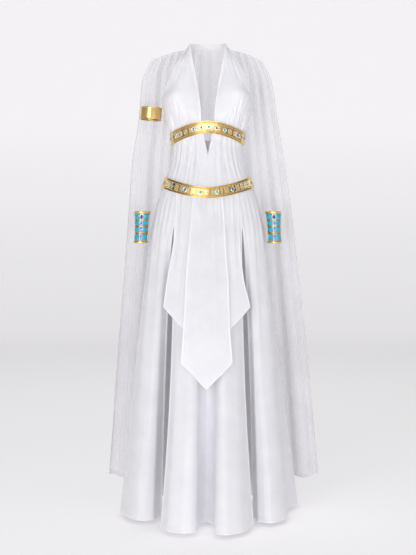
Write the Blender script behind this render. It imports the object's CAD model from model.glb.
"""Egyptian queen costume: the looks of its gown, cape, gold bands, armlet and cuffs.

Everything is in metres in the frame's axes: +Z up, the front faces -Y and +X is the viewer's right.
The origin is in the middle of the neck opening. Heights in the tables are measured up from the floor,
and angles go round the gown from the centre front (0 degrees) past the viewer's right (90).
The tables of sizes are those of the part's own construction, so that each shell lies on its solid.
"""

import math
from collections import namedtuple

import bmesh
import bpy
import numpy as np
from bpy.props import FloatProperty, FloatVectorProperty, PointerProperty
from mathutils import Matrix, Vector


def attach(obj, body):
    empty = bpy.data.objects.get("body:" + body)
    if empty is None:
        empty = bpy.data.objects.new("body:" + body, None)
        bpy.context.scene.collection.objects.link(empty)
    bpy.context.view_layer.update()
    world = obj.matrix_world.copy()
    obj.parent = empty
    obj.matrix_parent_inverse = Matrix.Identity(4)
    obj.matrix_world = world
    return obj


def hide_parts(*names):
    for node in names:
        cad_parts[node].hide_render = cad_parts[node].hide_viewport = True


bl_info = {
    "name": "Egyptian Queen Costume",
    "version": (1, 0, 0),
    "blender": (4, 5, 0),
    "location": "3D View > Sidebar > Costume",
    "description": "Dresses the costume's solids with cloth, gilt metal, stones and enamel",
    "category": "Object",
}

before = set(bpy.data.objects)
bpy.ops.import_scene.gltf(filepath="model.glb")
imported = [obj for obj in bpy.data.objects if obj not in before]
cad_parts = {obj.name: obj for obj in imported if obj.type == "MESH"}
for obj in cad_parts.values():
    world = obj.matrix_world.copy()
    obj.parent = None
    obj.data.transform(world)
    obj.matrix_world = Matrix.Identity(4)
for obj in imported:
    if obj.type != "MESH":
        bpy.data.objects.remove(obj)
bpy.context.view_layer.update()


def linear(code):
    """Turns an sRGB hex colour into linear values."""
    parts = [int(code[i:i + 2], 16) / 255.0 for i in (1, 3, 5)]
    return tuple(p / 12.92 if p <= 0.04045 else ((p + 0.055) / 1.055) ** 2.4 for p in parts)


# Driving sizes, the same as the solids'
NECK_HEIGHT = 1.440
HEM_HEIGHT = 0.012
SLIT_TOP = 0.882
SLIT_ANGLE = 36.0
PROBE = 0.0005

Ring = namedtuple("Ring", "height half_width front back")
TORSO_RINGS = (
    Ring(0.880, 0.1720, 0.1250, 0.1370),
    Ring(0.950, 0.1570, 0.1150, 0.1240),
    Ring(1.000, 0.1395, 0.1070, 0.1080),
    Ring(1.035, 0.1280, 0.1010, 0.0970),
    Ring(1.080, 0.1140, 0.0960, 0.0890),
    Ring(1.125, 0.1070, 0.0950, 0.0860),
    Ring(1.167, 0.1120, 0.0980, 0.0890),
    Ring(1.212, 0.1260, 0.1040, 0.0950),
    Ring(1.262, 0.1378, 0.1120, 0.1000),
)

# Lines that the gold bands follow: middle height at the centre and at the side seams
Line = namedtuple("Line", "centre side power half_height")
UNDERBUST_LINE = Line(1.1800, 1.1500, 1.5, 0.0175)
BELT_LINE = Line(0.9850, 1.0210, 1.7, 0.0163)

KEYHOLE_TIP = 1.098
KEYHOLE_HALF_WIDTH = 0.0175
KEYHOLE_TOP = 1.176
BACK_TOP_CENTRE = 1.158
BACK_TOP_SIDE = 1.262
BACK_TOP_POWER = 1.6

# Unevenness of all gathers: shifts of their spacing and the change of their depth along a sheet
Shift = namedtuple("Shift", "size rate start")
GATHER_SHIFTS = (Shift(0.016, 17.0, 0.0), Shift(0.010, 41.0, 1.0))
GATHER_DEPTHS = Shift(0.28, 23.0, 0.6)
BODICE_GATHERS = 15
BODICE_GATHER_DEPTH = 0.0024
BACK_GATHERS = 9
GATHER_FADE = 0.014
EDGE_FADE = 16.0

# Halter cup on the viewer's right, from the strap end down to the underbust band
Cup = namedtuple("Cup", "share in_x in_y in_height out_x out_y out_height full_x full_y")
CUP_SECTIONS = (
    Cup(0.00, 0.0540, 0.0120, 1.4470, 0.0655, 0.0120, 1.4280, 0.000, 0.000),
    Cup(0.04, 0.0540, 0.0000, 1.4470, 0.0655, 0.0000, 1.4280, 0.000, 0.000),
    Cup(0.11, 0.0515, -0.0180, 1.4300, 0.0735, -0.0120, 1.4140, 0.002, -0.002),
    Cup(0.22, 0.0475, -0.0480, 1.3960, 0.0905, -0.0330, 1.3870, 0.003, -0.010),
    Cup(0.38, 0.0405, -0.0700, 1.3580, 0.1110, -0.0440, 1.3420, 0.006, -0.020),
    Cup(0.56, 0.0330, -0.0890, 1.3160, 0.1300, -0.0340, 1.2970, 0.010, -0.042),
    Cup(0.73, 0.0265, -0.0990, 1.2740, 0.1378, 0.0000, 1.2620, 0.024, -0.066),
    Cup(0.85, 0.0215, -0.0990, 1.2330, 0.1260, 0.0000, 1.2120, 0.024, -0.056),
)
Place = namedtuple("Place", "share x y z")
CUP_BAND_SHARE = 0.94
CUP_EDGE_ANGLE = 9.4
CUP_FULL_POWER = 0.9
CUP_TURN = 0.55
BAND_TOP_MARGIN = 0.001
STRAP_FOLDS = 4.5
STRAP_FOLD_DEPTH = 0.0022
STRAP_FOLD_START = 0.12
STRAP_FOLD_END = 0.68
STRAP_FOLD_FADE = 0.35
CUP_GATHERS = 9
CUP_GATHER_DEPTH = 0.0026
CUP_GATHER_SHARE = 0.16

NECK_TOP_RADIUS = 0.0540
NECK_FLARE = 0.0115
NECK_CENTRE_Y = 0.0120
NECK_DEPTH_SCALE = 0.84
NECK_BAND_TOP = 1.4470
NECK_BAND_FALL = 0.0190
NAPE_RISE = 0.0060

# Folds of the skirt from slit to slit round the back
Fold = namedtuple("Fold", "hip_angle hem_angle reach")
SKIRT_FOLDS = (
    Fold(36.0, 69.5, 0.147),
    Fold(46.0, 53.5, 0.187),
    Fold(60.0, 54.0, 0.225),
    Fold(76.0, 76.0, 0.244),
    Fold(90.0, 92.0, 0.240),
    Fold(102.0, 106.0, 0.258),
    Fold(113.0, 121.0, 0.331),
    Fold(126.0, 133.0, 0.270),
    Fold(138.0, 147.0, 0.322),
    Fold(150.0, 158.0, 0.255),
    Fold(164.0, 168.5, 0.312),
    Fold(177.0, 179.0, 0.252),
    Fold(190.0, 191.0, 0.310),
    Fold(203.0, 202.5, 0.256),
    Fold(217.0, 214.0, 0.318),
    Fold(231.0, 226.0, 0.262),
    Fold(244.0, 240.0, 0.292),
    Fold(256.0, 251.5, 0.248),
    Fold(267.0, 262.0, 0.271),
    Fold(282.0, 273.5, 0.256),
    Fold(300.0, 295.5, 0.226),
    Fold(313.0, 299.0, 0.190),
    Fold(324.0, 284.0, 0.145),
)
EDGE_SPREAD_POWER = 0.62
SIDE_SPREAD_POWER = 0.90
SPREAD_REACH = 24.0
SKIRT_GATHERS = 26
SKIRT_GATHER_DEPTH = 0.0022
SKIRT_GATHER_END = 0.800

# Hem of the centre front panel, from its left edge to its right edge
Hem = namedtuple("Hem", "share x y")
FRONT_HEM = (
    Hem(0.00, -0.1365, -0.180),
    Hem(0.12, -0.1120, -0.237),
    Hem(0.26, -0.0680, -0.262),
    Hem(0.36, -0.0330, -0.236),
    Hem(0.44, -0.0270, -0.150),
    Hem(0.50, -0.0040, -0.113),
    Hem(0.56, 0.0170, -0.150),
    Hem(0.63, 0.0190, -0.245),
    Hem(0.73, 0.0480, -0.284),
    Hem(0.86, 0.0980, -0.248),
    Hem(1.00, 0.1336, -0.152),
)
FRONT_SPREAD_POWER = 2.2
FRONT_FALL_POWER = 1.1
FORM_HEM_HALF_WIDTH = 0.262
FORM_HEM_FRONT = 0.286

Overlay = namedtuple("Overlay", "height wing_left wing_right pleat_left pleat_right stand")
OVERLAY_SECTIONS = (
    Overlay(0.400, 0.1360, 0.1300, 0.0690, 0.0640, 0.0150),
    Overlay(0.490, 0.1340, 0.1280, 0.0685, 0.0630, 0.0140),
    Overlay(0.580, 0.1280, 0.1230, 0.0635, 0.0575, 0.0130),
    Overlay(0.647, 0.1220, 0.1165, 0.0610, 0.0565, 0.0110),
    Overlay(0.730, 0.1130, 0.1000, 0.0590, 0.0550, 0.0080),
    Overlay(0.800, 0.1030, 0.0940, 0.0550, 0.0510, 0.0050),
    Overlay(0.880, 0.0950, 0.0910, 0.0500, 0.0490, 0.0010),
    Overlay(0.970, 0.0920, 0.0900, 0.0420, 0.0430, 0.0000),
)
BELT_SEAM = 0.0003
WING_LAYER = 0.0020
PLEAT_LAYER = 0.0041
PLEAT_STAND = 1.6
WING_TUCK = 0.016
WING_POINT = 0.6470
WING_INNER_HEM = 0.5660
PLEAT_SHOULDER = 0.4880
PLEAT_TIP = 0.4150
PLEAT_TIP_SHARE = 0.49
OVERLAY_GATHER_DEPTH = 0.0030
OVERLAY_GATHER_END = 0.780
PLEAT_GATHERS = 4
WING_GATHERS = 2
WING_SHOWN_SHARE = 0.62
WING_SHOWN_FADE = 0.20

Cape = namedtuple("Cape", "share centre_height edge_height left right centre_y edge_y wave")
CAPE_SECTIONS = (
    Cape(0.00, 1.436, 1.400, 0.176, 0.168, 0.068, 0.050, 0.000),
    Cape(0.05, 1.392, 1.350, 0.202, 0.195, 0.104, 0.064, 0.002),
    Cape(0.14, 1.262, 1.225, 0.215, 0.217, 0.124, 0.074, 0.004),
    Cape(0.26, 1.085, 1.075, 0.237, 0.241, 0.128, 0.076, 0.006),
    Cape(0.38, 0.922, 0.920, 0.248, 0.263, 0.166, 0.080, 0.008),
    Cape(0.50, 0.765, 0.765, 0.260, 0.281, 0.190, 0.088, 0.010),
    Cape(0.74, 0.442, 0.445, 0.287, 0.318, 0.262, 0.112, 0.014),
    Cape(1.00, 0.086, 0.088, 0.314, 0.352, 0.338, 0.145, 0.018),
)
CAPE_SEAT_SHARE = 0.30
CAPE_SEAT_ANGLE = 52.0
CAPE_SEAT_DEPTH = 0.72
CAPE_SEAT_OUT = 0.0026
CAPE_FOLDS = 7
CAPE_BOW = 2.2
CAPE_CORNER_RISE = 0.014
CAPE_CORNER_SHARE = 0.14
CAPE_SHOULDER_RISE = 0.006
CAPE_FOLD_DRIFT = 0.02
CAPE_FOLD_RATE = 9.0

RIM_HEIGHT = 0.0055
RIM_OUT = 0.0040
TRIM_CLEARANCE = 0.0007
TRIM_END_ANGLE = 87.5
END_PLATE_ANGLE = 66.0
END_PLATE_STEP = 0.2
BELT_BACK_OUT = 0.0020

Stone = namedtuple("Stone", "angle half_width half_height turquoise")
UNDERBUST_STONES = (
    Stone(-79.5, 0.0030, 0.0040, False),
    Stone(-62.0, 0.0030, 0.0042, False),
    Stone(-47.0, 0.0040, 0.0054, False),
    Stone(-21.8, 0.0042, 0.0050, False),
    Stone(-9.4, 0.0036, 0.0044, False),
    Stone(1.6, 0.0046, 0.0046, True),
    Stone(12.9, 0.0036, 0.0044, False),
    Stone(26.0, 0.0042, 0.0050, True),
    Stone(51.0, 0.0040, 0.0054, False),
    Stone(62.5, 0.0030, 0.0042, False),
    Stone(74.0, 0.0030, 0.0040, False),
)
BELT_STONES = (
    Stone(-71.5, 0.0032, 0.0042, False),
    Stone(-50.0, 0.0042, 0.0046, True),
    Stone(-28.0, 0.0044, 0.0062, False),
    Stone(-8.3, 0.0044, 0.0062, True),
    Stone(11.1, 0.0042, 0.0060, True),
    Stone(31.0, 0.0044, 0.0060, False),
    Stone(58.5, 0.0042, 0.0046, True),
    Stone(72.0, 0.0032, 0.0042, False),
)

ARMLET_X = -0.1738
ARMLET_Y = 0.0150
ARMLET_BOTTOM = 1.2140
ARMLET_HEIGHT = 0.0370
ARMLET_RADIUS = 0.0318
ARMLET_TILT = 4.5
ARMLET_START = 40.0
ARMLET_TURN = 385.0
ARMLET_LAP = 0.0024
ARMLET_LAP_TURN = 55.0
ARMLET_LAP_EASE = 40.0

CuffRing = namedtuple("CuffRing", "up radius")
CUFF_RINGS = (
    CuffRing(0.000, 0.0192),
    CuffRing(0.030, 0.0180),
    CuffRing(0.062, 0.0190),
    CuffRing(0.096, 0.0226),
)
CUFF_BOTTOM = 0.8360
CUFF_BOTTOM_X = 0.2040
CUFF_TOP_X = 0.1995
CUFF_Y = -0.010
CUFF_DEPTH_SCALE = 0.94
CUFF_SLOT_ANGLE = 170.0
CUFF_STRIP_ANGLE = 11.5
CUFF_PAD_START = 14.5
CUFF_PAD_END = 68.0
CUFF_RIM_HEIGHT = 0.0064


# Small helpers

def blend(start, end, share):
    """Value part of the way from a start to an end."""
    return start + (end - start) * share


def smooth(share):
    """Eases from 0 to 1, flat at both ends."""
    share = min(max(share, 0.0), 1.0)
    return share * share * (3.0 - 2.0 * share)


def ease(shares):
    """The same easing for a whole array."""
    shares = np.clip(shares, 0.0, 1.0)
    return shares * shares * (3.0 - 2.0 * shares)


def spot(x, y, height):
    """Places a point, given by its height above the floor, in the object's frame."""
    return Vector((x, y, height - NECK_HEIGHT))


def steps(first, last, count):
    """Evenly spaced values, with both ends."""
    return [blend(first, last, index / count) for index in range(count + 1)]


def gentle(rate_before, rate_after):
    """Slope at a table's row: between its neighbours' rates, and level at a crest or a valley."""
    if rate_before * rate_after <= 0.0:
        return 0.0
    return 2.0 * rate_before * rate_after / (rate_before + rate_after)


def read(rows, value):
    """Reads a table at one value of its first column, on a smooth curve with no overshoot."""
    last = len(rows) - 1
    value = min(max(value, rows[0][0]), rows[last][0])
    index = max(i for i in range(last) if rows[i][0] <= value)
    start = rows[index]
    end = rows[index + 1]
    before = rows[index - 1] if index > 0 else None
    after = rows[index + 2] if index + 2 <= last else None
    span = end[0] - start[0]
    share = (value - start[0]) / span
    found = [value]
    for column in range(1, len(start)):
        rise = end[column] - start[column]
        rate_in = (start[column] - before[column]) / (start[0] - before[0]) if before else rise / span
        rate_out = (after[column] - end[column]) / (after[0] - end[0]) if after else rise / span
        slope_in = gentle(rate_in, rise / span) * span
        slope_out = gentle(rise / span, rate_out) * span
        curve = start[column] + share * slope_in
        curve += share ** 2 * (3.0 * rise - 2.0 * slope_in - slope_out)
        curve += share ** 3 * (slope_in + slope_out - 2.0 * rise)
        found.append(curve)
    return type(start)(*found)


def uneven(share):
    """Shifts a share a little back and forth, so that gathers aren't evenly spaced."""
    moved = share
    for shift in GATHER_SHIFTS:
        moved += shift.size * math.sin(share * shift.rate + shift.start)
    return moved


def crests(share, count):
    """Waves from 0 to 1, uneven in spacing."""
    return 0.5 - 0.5 * math.cos(2.0 * math.pi * count * uneven(share))


def gather(share, count):
    """Gives one sheet's gathers, uneven in spacing and in depth."""
    change = GATHER_DEPTHS
    depth = 1.0 - change.size + change.size * math.sin(share * change.rate + change.start)
    return crests(share, count) * depth


def near_seam(share):
    """Fades a panel's gathers to nothing at its side seams, so that neighbours meet level."""
    return smooth(EDGE_FADE * share) * smooth(EDGE_FADE * (1.0 - share))


# Surfaces of the gown, as the outer face of the cloth

def torso(angle, height):
    """Outer face of the cloth round the body of the gown."""
    ring = read(TORSO_RINGS, height)
    turn = math.radians(angle)
    depth = ring.front if math.cos(turn) > 0.0 else ring.back
    return spot(ring.half_width * math.sin(turn), -depth * math.cos(turn), height)


def outward(angle):
    """Level direction away from the gown's axis."""
    turn = math.radians(angle)
    return Vector((math.sin(turn), -math.cos(turn), 0.0))


def line_height(line, angle):
    """Middle height of a band's line. Round the back it stays at its side height."""
    if math.cos(math.radians(angle)) <= 0.0:
        return line.side
    return blend(line.centre, line.side, abs(math.sin(math.radians(angle))) ** line.power)


def between_trims(angle, height):
    """Strength of the midriff's gathers, which fade out under both gold bands."""
    low = line_height(BELT_LINE, angle) + BELT_LINE.half_height
    high = line_height(UNDERBUST_LINE, angle) - UNDERBUST_LINE.half_height
    return smooth((height - low) / GATHER_FADE) * smooth((high - height) / GATHER_FADE)


def bodice_front(u, v):
    """Gathered midriff with its keyhole: u from left to right, v from the band down to the belt."""
    angle = blend(-90.0, 90.0, u)
    low = line_height(BELT_LINE, angle)
    high = line_height(UNDERBUST_LINE, angle)
    reach = abs(torso(angle, KEYHOLE_TOP).x) / KEYHOLE_HALF_WIDTH
    if reach < 1.0:
        high = min(high, blend(KEYHOLE_TIP, KEYHOLE_TOP, reach))
    height = blend(high, low, v)
    fold = gather(u, BODICE_GATHERS) * BODICE_GATHER_DEPTH * between_trims(angle, height)
    return torso(angle, height) - outward(angle) * fold * near_seam(u)


def bodice_back(u, v):
    """Low back of the bodice, with a dipped upper edge."""
    angle = blend(90.0, 270.0, u)
    rise = abs(2.0 * u - 1.0) ** BACK_TOP_POWER
    high = blend(BACK_TOP_CENTRE, BACK_TOP_SIDE, rise)
    height = blend(high, BELT_LINE.side, v)
    low = BELT_LINE.side + BELT_LINE.half_height
    strength = smooth((height - low) / GATHER_FADE) * smooth((high - height) / (3.0 * GATHER_FADE))
    fold = gather(u, BACK_GATHERS) * BODICE_GATHER_DEPTH * strength
    return torso(angle, height) - outward(angle) * fold * near_seam(u)


def cup_on_band(u, share):
    """The cup's lowest stretch, which lies flat behind the underbust band."""
    angle = blend(CUP_EDGE_ANGLE, 90.0, u)
    rise = (UNDERBUST_LINE.half_height + BAND_TOP_MARGIN) * (1.0 - share) / (1.0 - CUP_BAND_SHARE)
    return torso(angle, line_height(UNDERBUST_LINE, angle) + rise)


def cup_section(section, u):
    """Point across one section of the cup, straight from edge to edge plus the cup's fullness."""
    inner = spot(section.in_x, section.in_y, section.in_height)
    outer = spot(section.out_x, section.out_y, section.out_height)
    full = math.sin(math.pi * min(max(u, 0.0), 1.0)) ** CUP_FULL_POWER
    return blend(inner, outer, u) + Vector((section.full_x, section.full_y, 0.0)) * full


def cup(u, v):
    """Right cup: u from the V edge to the side, v from the strap end down to the band."""
    if v >= CUP_BAND_SHARE:
        return cup_on_band(u, v)
    rows = [Place(section.share, *cup_section(section, u)) for section in CUP_SECTIONS]
    rows.append(Place(CUP_BAND_SHARE, *cup_on_band(u, CUP_BAND_SHARE)))
    here = read(rows, v)
    side = Vector((CUP_TURN * u, CUP_TURN * u - 1.0, 0.0)).normalized()
    strap = smooth(v / STRAP_FOLD_START) * smooth((STRAP_FOLD_END - v) / STRAP_FOLD_FADE)
    strap *= crests(u, STRAP_FOLDS) * STRAP_FOLD_DEPTH
    above_band = (CUP_BAND_SHARE - v) / CUP_GATHER_SHARE
    band = smooth(above_band * 6.0) * smooth(1.0 - above_band) * CUP_GATHER_DEPTH
    band *= gather(u, CUP_GATHERS) * blend(0.5, 1.0, u)
    return Vector((here.x, here.y, here.z)) - side * (strap + band) * near_seam(u)


def left_cup(u, v):
    """Mirror of the right cup, from its side to its V edge."""
    place = cup(1.0 - u, v)
    return Vector((-place.x, place.y, place.z))


def neck_band(u, v):
    """Halter's stretch behind the neck, from one strap end to the other."""
    turn = math.radians(blend(90.0, 270.0, u))
    radius = NECK_TOP_RADIUS + NECK_FLARE * v
    height = NECK_BAND_TOP - NECK_BAND_FALL * v - NAPE_RISE * math.cos(turn)
    depth = radius * blend(1.0, NECK_DEPTH_SCALE, abs(math.cos(turn)))
    return spot(radius * math.sin(turn), NECK_CENTRE_Y - depth * math.cos(turn), height)


def fall_share(height):
    """How far a height is from the slit tops down to the hem, from 0 to 1."""
    return min(max((SLIT_TOP - height) / (SLIT_TOP - HEM_HEIGHT), 0.0), 1.0)


def skirt_gather(angle, height):
    """Depth of the small gathers under the belt."""
    top = line_height(BELT_LINE, angle) - BELT_LINE.half_height
    strength = smooth((top - height) / GATHER_FADE)
    strength *= smooth((height - SKIRT_GATHER_END) / (top - SKIRT_GATHER_END))
    return gather(angle / 360.0, SKIRT_GATHERS) * SKIRT_GATHER_DEPTH * strength


def skirt(angle, height):
    """Skirt from slit to slit round the back: the hip's form, spreading into folds at the hem."""
    hip = torso(angle, max(height, SLIT_TOP))
    hip = hip - outward(angle) * skirt_gather(angle, height)
    hip.z = height - NECK_HEIGHT
    fold = read(SKIRT_FOLDS, angle)
    turn = math.radians(fold.hem_angle)
    hem = Vector((fold.reach * math.sin(turn), -fold.reach * math.cos(turn), hip.z))
    from_slit = min(abs(angle - SLIT_ANGLE), abs(360.0 - SLIT_ANGLE - angle))
    power = blend(EDGE_SPREAD_POWER, SIDE_SPREAD_POWER, smooth(from_slit / SPREAD_REACH))
    return blend(hip, hem, fall_share(height) ** power)


def skirt_panel(first_angle, last_angle):
    """Surface of the skirt between two angles, from the belt down to the hem."""
    def surface(u, v):
        angle = blend(first_angle, last_angle, u)
        return skirt(angle, blend(line_height(BELT_LINE, angle), HEM_HEIGHT, v))
    return surface


def front_panel(u, v):
    """Centre front of the skirt between the two slits."""
    angle = blend(-SLIT_ANGLE, SLIT_ANGLE, u)
    height = blend(line_height(BELT_LINE, angle), HEM_HEIGHT, v)
    hip = torso(angle, max(height, SLIT_TOP))
    hem = read(FRONT_HEM, u)
    fall = fall_share(height)
    x = blend(hip.x, hem.x, fall ** FRONT_SPREAD_POWER)
    y = blend(hip.y, hem.y, fall ** FRONT_FALL_POWER)
    return spot(x, y, height)


def front_form(x, height, stand):
    """Smooth form of the skirt's front at a width and a height, moved out by a stand-off."""
    ring = read(TORSO_RINGS, max(height, SLIT_TOP))
    fall = fall_share(height) ** FRONT_FALL_POWER
    half_width = blend(ring.half_width, FORM_HEM_HALF_WIDTH, fall)
    front = blend(ring.front, FORM_HEM_FRONT, fall)
    lean = math.asin(min(max(x / half_width, -1.0), 1.0))
    return spot(x + stand * math.sin(lean), -(front * math.cos(lean)) - stand * math.cos(lean), height)


def overlay_top(x):
    """Height of the belt's lower edge above a point of the overlay's width."""
    ring = read(TORSO_RINGS, BELT_LINE.centre)
    angle = math.degrees(math.asin(min(max(x / ring.half_width, -1.0), 1.0)))
    return line_height(BELT_LINE, angle) - BELT_LINE.half_height - BELT_SEAM


def overlay_gather(share, count, height, top):
    """Depth of the overlay's small gathers under the belt."""
    strength = smooth((top - height) / GATHER_FADE)
    strength *= smooth((height - OVERLAY_GATHER_END) / (top - OVERLAY_GATHER_END))
    return gather(share, count) * OVERLAY_GATHER_DEPTH * strength


def overlay_pleat(u, v):
    """Middle pleat of the overlay, down to its pointed tip."""
    section = OVERLAY_SECTIONS[-1]
    top = overlay_top(blend(-section.pleat_left, section.pleat_right, u))
    if u < PLEAT_TIP_SHARE:
        bottom = blend(PLEAT_SHOULDER, PLEAT_TIP, u / PLEAT_TIP_SHARE)
    else:
        bottom = blend(PLEAT_TIP, PLEAT_SHOULDER, (u - PLEAT_TIP_SHARE) / (1.0 - PLEAT_TIP_SHARE))
    height = blend(top, bottom, v)
    section = read(OVERLAY_SECTIONS, height)
    stand = PLEAT_LAYER + PLEAT_STAND * section.stand + overlay_gather(u, PLEAT_GATHERS, height, top)
    return front_form(blend(-section.pleat_left, section.pleat_right, u), height, stand)


def overlay_wing(side, share, v):
    """Wing of the overlay on one side (-1 or 1): share from its outer edge to behind the pleat."""
    section = OVERLAY_SECTIONS[-1]
    wing = section.wing_right if side > 0 else section.wing_left
    pleat = section.pleat_right if side > 0 else section.pleat_left
    top = overlay_top(blend(wing, pleat - WING_TUCK, share))
    height = blend(top, blend(WING_POINT, WING_INNER_HEM, share), v)
    section = read(OVERLAY_SECTIONS, height)
    wing = section.wing_right if side > 0 else section.wing_left
    pleat = section.pleat_right if side > 0 else section.pleat_left
    shown = smooth((WING_SHOWN_SHARE - share) / WING_SHOWN_FADE)
    stand = WING_LAYER + section.stand + shown * overlay_gather(share, WING_GATHERS, height, top)
    return front_form(side * blend(wing, pleat - WING_TUCK, share), height, stand)


def left_wing(u, v):
    """Left wing, from its outer edge to behind the pleat."""
    return overlay_wing(-1.0, u, v)


def right_wing(u, v):
    """Right wing, from behind the pleat to its outer edge."""
    return overlay_wing(1.0, 1.0 - u, v)


def cape_top(side, share):
    """Top edge of the cape: seated on the neck band behind the neck, then along the shoulder."""
    if share < CAPE_SEAT_SHARE:
        u = 0.5 - side * CAPE_SEAT_ANGLE / 180.0 * share / CAPE_SEAT_SHARE
        seat = neck_band(u, CAPE_SEAT_DEPTH)
        away = Vector((seat.x, seat.y - NECK_CENTRE_Y, 0.0)).normalized()
        return seat + away * CAPE_SEAT_OUT
    seat = cape_top(side, CAPE_SEAT_SHARE - PROBE)
    section = CAPE_SECTIONS[0]
    reach = section.left if side < 0 else section.right
    along = (share - CAPE_SEAT_SHARE) / (1.0 - CAPE_SEAT_SHARE)
    end = spot(side * reach, section.edge_y, section.edge_height)
    place = blend(seat, end, along)
    place.z += CAPE_SHOULDER_RISE * math.sin(math.pi * along)
    return place


def cape_turn(u):
    """Angle of the cape's waves along its width, with a drift that spaces them unevenly."""
    return 2.0 * math.pi * CAPE_FOLDS * (u + CAPE_FOLD_DRIFT * math.sin(CAPE_FOLD_RATE * u))


def cape(u, v):
    """Cape from its edge on the viewer's right, round behind, to its left edge."""
    position = 1.0 - 2.0 * u
    side = 1.0 if position > 0.0 else -1.0
    share = min(abs(position), 1.0)
    section = read(CAPE_SECTIONS, v)
    reach = section.left if side < 0 else section.right
    bow = share ** CAPE_BOW
    height = blend(section.centre_height, section.edge_height, bow)
    low = smooth(1.0 - (1.0 - v) / CAPE_CORNER_SHARE)
    aside = smooth(1.0 - (1.0 - share) / CAPE_CORNER_SHARE)
    height += CAPE_CORNER_RISE * low * aside
    y = blend(section.centre_y, section.edge_y, bow)
    place = spot(side * reach * share, y + section.wave * math.cos(cape_turn(u)), height)
    return blend(cape_top(side, share), place, min(max(v / CAPE_SECTIONS[1].share, 0.0), 1.0))


# Placing of metal pieces: an angle round the piece, a distance out and a distance up

def on_trim(line):
    """Placing on a gold band, by the angle round the gown."""
    def place(angle, out, up):
        height = line_height(line, angle) + up
        return torso(angle, height) + outward(angle) * (TRIM_CLEARANCE + out)
    return place


def on_cuff(side):
    """Placing on the cuff of one side, by the angle round the cuff."""
    def place(angle, out, up):
        radius = read(CUFF_RINGS, up).radius + out
        centre = blend(CUFF_BOTTOM_X, CUFF_TOP_X, up / CUFF_RINGS[-1].up)
        turn = math.radians(angle)
        x = side * centre + radius * math.sin(turn)
        return spot(x, CUFF_Y - radius * math.cos(turn) * CUFF_DEPTH_SCALE, CUFF_BOTTOM + up)
    return place


def on_armlet(angle, out, up):
    """Placing on the tilted armlet, whose last stretch laps over its first."""
    lap = smooth((angle - ARMLET_START - ARMLET_TURN + ARMLET_LAP_TURN) / ARMLET_LAP_EASE)
    radius = ARMLET_RADIUS + out + ARMLET_LAP * lap
    turn = math.radians(angle)
    middle = up - ARMLET_HEIGHT / 2.0
    lean = math.radians(ARMLET_TILT)
    across = radius * math.sin(turn)
    x = ARMLET_X + across * math.cos(lean) + middle * math.sin(lean)
    height = ARMLET_BOTTOM + ARMLET_HEIGHT / 2.0 + middle * math.cos(lean) - across * math.sin(lean)
    return spot(x, ARMLET_Y - radius * math.cos(turn), height)


# Making sheets and strips

Field = namedtuple("Field", "u v left right top bottom width")


def primitive(add, **sizes):
    """Adds one primitive with everything else deselected, and returns it."""
    bpy.ops.object.select_all(action="DESELECT")
    add(**sizes)
    return bpy.context.active_object


def run_on(piece, operator, **settings):
    """Runs an object operator on one piece alone."""
    bpy.ops.object.select_all(action="DESELECT")
    piece.select_set(True)
    bpy.context.view_layer.objects.active = piece
    operator(**settings)


def apply_modifier(piece, kind, **settings):
    """Adds one modifier to a piece and applies it."""
    modifier = piece.modifiers.new(kind.title(), kind)
    for name, value in settings.items():
        setattr(modifier, name, value)
    run_on(piece, bpy.ops.object.modifier_apply, modifier=modifier.name)


def lengths(points, axis):
    """Distances along each row (axis 1) or column (axis 0) of a grid of points, from its start."""
    pieces = np.linalg.norm(np.diff(points, axis=axis), axis=2)
    start = np.zeros_like(np.take(pieces, [0], axis=axis))
    return np.cumsum(np.concatenate([start, pieces], axis=axis), axis=axis)


def grid_sheet(name, across, down, surface, relief=None, thickness=0.0008, tone=None, hems=()):
    """Lays a grid on surface(u, v), lifts it by its relief and gives it its thickness inwards.

    Its UV map is in metres of cloth, so a weave follows the sheet.
    """
    sheet = primitive(bpy.ops.mesh.primitive_grid_add, x_subdivisions=len(across) - 1,
                      y_subdivisions=len(down) - 1, size=1.0)
    points = np.array([[surface(u, v) for u in across] for v in down])
    along = lengths(points, 1)
    fall = lengths(points, 0)
    if relief:
        normals = np.cross(np.gradient(points, axis=0), np.gradient(points, axis=1))
        normals /= np.linalg.norm(normals, axis=2, keepdims=True)
        u, v = np.meshgrid(across, down)
        width = along[:, -1:]
        field = Field(u, v, along, width - along, fall, fall[-1:, :] - fall, width)
        points = points + normals * relief(field)[:, :, None]
    sheet.data.vertices.foreach_set("co", points[::-1].ravel())
    marks = np.stack([along - along[:, -1:] / 2.0, -fall], axis=2)[::-1].reshape(-1, 2)
    corners = np.empty(len(sheet.data.loops), dtype=int)
    sheet.data.loops.foreach_get("vertex_index", corners)
    sheet.data.uv_layers.active.data.foreach_set("uv", marks[corners].ravel())
    if tone:
        shade = sheet.data.attributes.new("tone", "FLOAT", "POINT")
        values = np.array([[tone(u, v) for u in across] for v in down])
        shade.data.foreach_set("value", values[::-1].ravel())
    if hems:
        doubled = sheet.data.attributes.new("hem", "FLOAT", "POINT")
        values = np.clip(hemmed(field, hems) / HEM_RISE, 0.0, 1.0)
        doubled.data.foreach_set("value", values[::-1].ravel())
    sheet.data.update()
    sheet.name = name
    sheet.data.name = name
    apply_modifier(sheet, "SOLIDIFY", thickness=thickness, offset=-1.0)
    run_on(sheet, bpy.ops.object.shade_smooth_by_angle, angle=math.radians(50.0))
    return sheet


def dense_ends(count, length, first, last):
    """Even steps from 0 to 1, with extra ones that draw the hem at the first and the last edge."""
    shares = set(steps(0.0, 1.0, count))
    for distance in HEM_STEPS:
        if first:
            shares.add(distance / length)
        if last:
            shares.add(1.0 - distance / length)
    return sorted(shares)


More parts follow.
